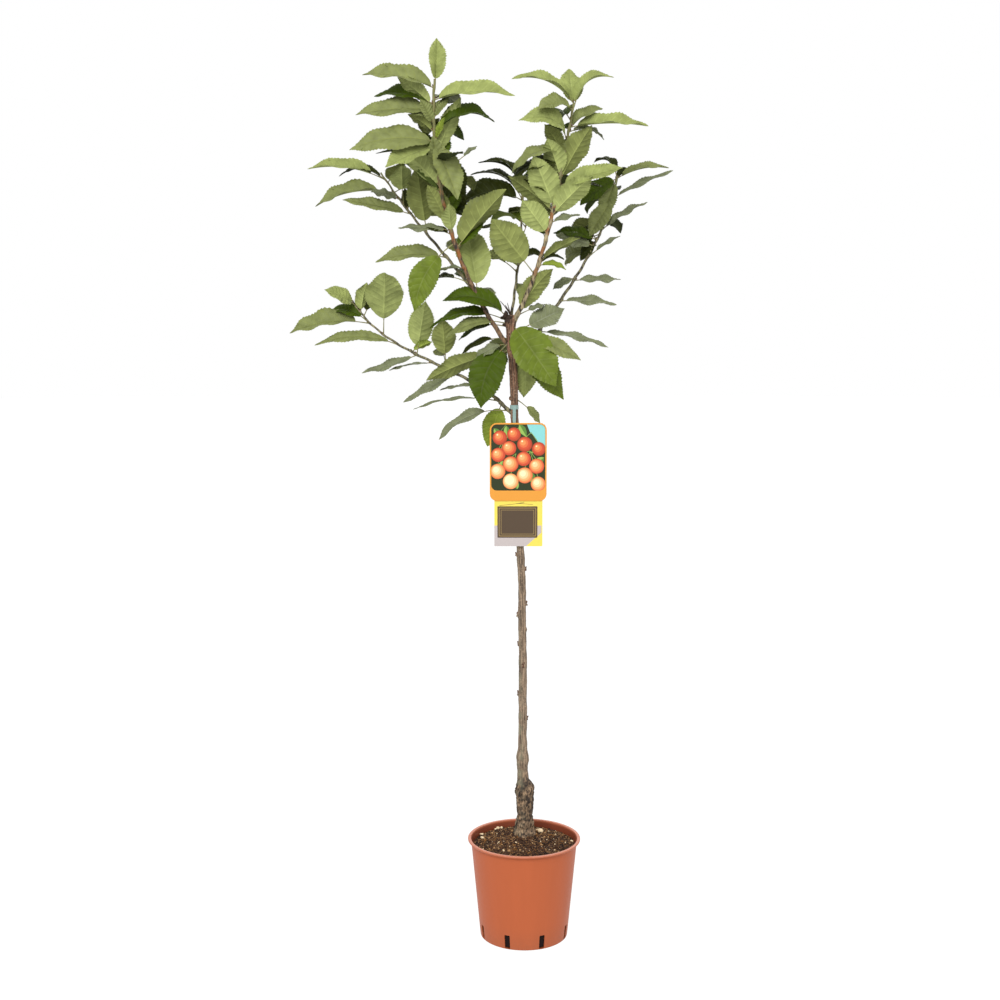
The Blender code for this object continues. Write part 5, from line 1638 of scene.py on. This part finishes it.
def build_stage(settings):
    """A light table for a floor, even light from all round, three soft lights, and the camera."""
    bm = bmesh.new()
    bmesh.ops.create_circle(bm, cap_ends=True, segments=96, radius=settings.floor_radius)
    mesh = bpy.data.meshes.new("floor")
    bm.to_mesh(mesh)
    bm.free()
    # A light table gives off as much light as the paper behind it, so it shows no edge and no shadow
    material, _, _ = principled("Light table, opal acrylic", {
        "Base Color": tint(settings.floor, 0.05), "Roughness": 0.9, "Specular IOR Level": 0.1,
        "Emission Color": tint(settings.floor), "Emission Strength": settings.sky})
    mesh.materials.append(material)
    floor = bpy.data.objects.new("floor", mesh)
    bpy.context.scene.collection.objects.link(floor)

    world = bpy.data.worlds.new("Studio")
    world.use_nodes = True
    background = world.node_tree.nodes["Background"]
    wire(world.node_tree, background, {"Color": (1, 1, 1, 1), "Strength": settings.sky})
    bpy.context.scene.world = world
    # White paper is to show as white, so colours are shown as they are, with no film curve
    bpy.context.scene.view_settings.view_transform = "Standard"
    add_light("key", (-0.8, -3.0, 3.0), (0, 0, 1.0), 2.0, settings.key)
    add_light("fill", (2.2, -1.6, 2.2), (0, 0, 1.0), 2.0, settings.key * 0.12)
    add_light("back", (0.6, 3.2, 2.6), (0, 0, 1.0), 2.0, settings.key * 0.30)

    camera = bpy.data.cameras.new("view")
    camera.lens = settings.lens
    viewpoint = bpy.data.objects.new("view", camera)
    viewpoint.location = (settings.side, -settings.distance, settings.height)
    viewpoint.rotation_euler = (pi / 2 - settings.pitch, 0, 0)
    bpy.context.scene.collection.objects.link(viewpoint)
    bpy.context.scene.camera = viewpoint


def add_light(name, place, aim, size, watts):
    """A square soft light at a place, turned to a point."""
    data = bpy.data.lights.new(name, "AREA")
    data.energy = watts
    data.size = size
    light = bpy.data.objects.new(name, data)
    light.location = place
    light.rotation_euler = (Vector(aim) - Vector(place)).to_track_quat("-Z", "Y").to_euler()
    bpy.context.scene.collection.objects.link(light)


class CHERRY_OT_stage(bpy.types.Operator):
    """Set up the floor, the lights and the camera"""
    bl_idname = "cherry.stage"
    bl_label = "Stage"

    def execute(self, context):
        build_stage(context.scene.cherry_stage)
        return {"FINISHED"}


class CHERRY_OT_pot(bpy.types.Operator):
    """Turn the nursery pot and cut its drainage slots"""
    bl_idname = "cherry.pot"
    bl_label = "Nursery pot"

    def execute(self, context):
        build_pot(context.scene.cherry_pot)
        return {"FINISHED"}


class CHERRY_OT_soil(bpy.types.Operator):
    """Fill the pot with soil, crumbs, pumice and fibres"""
    bl_idname = "cherry.soil"
    bl_label = "Potting soil"

    def execute(self, context):
        build_soil(context.scene.cherry_soil)
        return {"FINISHED"}


class CHERRY_OT_trunk(bpy.types.Operator):
    """Give the trunk its bark, knots and spurs"""
    bl_idname = "cherry.trunk"
    bl_label = "Trunk"

    def execute(self, context):
        build_trunk(context.scene.cherry_bark)
        return {"FINISHED"}


class CHERRY_OT_shoots(bpy.types.Operator):
    """Grow the shoots, spurs and buds"""
    bl_idname = "cherry.shoots"
    bl_label = "Shoots"

    def execute(self, context):
        build_shoots(context.scene.cherry_bark, context.scene.cherry_leaf)
        return {"FINISHED"}


class CHERRY_OT_leaves(bpy.types.Operator):
    """Grow the leaves and their stalks"""
    bl_idname = "cherry.leaves"
    bl_label = "Leaves"

    def execute(self, context):
        build_leaves(context.scene.cherry_leaf, context.scene.cherry_bark)
        return {"FINISHED"}


class CHERRY_OT_label(bpy.types.Operator):
    """Print the two cards and tint the strap"""
    bl_idname = "cherry.label"
    bl_label = "Picture label"

    def execute(self, context):
        build_label(context.scene.cherry_label)
        return {"FINISHED"}


OPERATORS = (CHERRY_OT_stage, CHERRY_OT_pot, CHERRY_OT_soil, CHERRY_OT_trunk, CHERRY_OT_shoots,
             CHERRY_OT_leaves, CHERRY_OT_label)
SETTINGS = {
    "cherry_pot": PotSettings,
    "cherry_soil": SoilSettings,
    "cherry_bark": BarkSettings,
    "cherry_leaf": LeafSettings,
    "cherry_label": LabelSettings,
    "cherry_stage": StageSettings,
}


class CHERRY_PT_panel(bpy.types.Panel):
    """Buttons and settings of the cherry tree"""
    bl_idname = "CHERRY_PT_panel"
    bl_label = "Cherry tree"
    bl_space_type = "VIEW_3D"
    bl_region_type = "UI"
    bl_category = "Cherry"

    def draw(self, context):
        for operator in OPERATORS:
            self.layout.operator(operator.bl_idname)
        for name, group in SETTINGS.items():
            box = self.layout.box()
            box.label(text=group.__doc__)
            for setting in group.__annotations__:
                box.prop(getattr(context.scene, name), setting)


def register():
    """Add the settings, the operators and the panel to Blender."""
    for name, group in SETTINGS.items():
        bpy.utils.register_class(group)
        setattr(bpy.types.Scene, name, PointerProperty(type=group))
    for operator in OPERATORS:
        bpy.utils.register_class(operator)
    bpy.utils.register_class(CHERRY_PT_panel)


def unregister():
    """Take them out again."""
    bpy.utils.unregister_class(CHERRY_PT_panel)
    for operator in reversed(OPERATORS):
        bpy.utils.unregister_class(operator)
    for name, group in SETTINGS.items():
        delattr(bpy.types.Scene, name)
        bpy.utils.unregister_class(group)


def main():
    """Build every piece in order."""
    register()
    bpy.ops.cherry.stage()
    bpy.ops.cherry.pot()
    bpy.ops.cherry.soil()
    bpy.ops.cherry.trunk()
    bpy.ops.cherry.shoots()
    bpy.ops.cherry.leaves()
    bpy.ops.cherry.label()


if __name__ == "__main__":
    main()
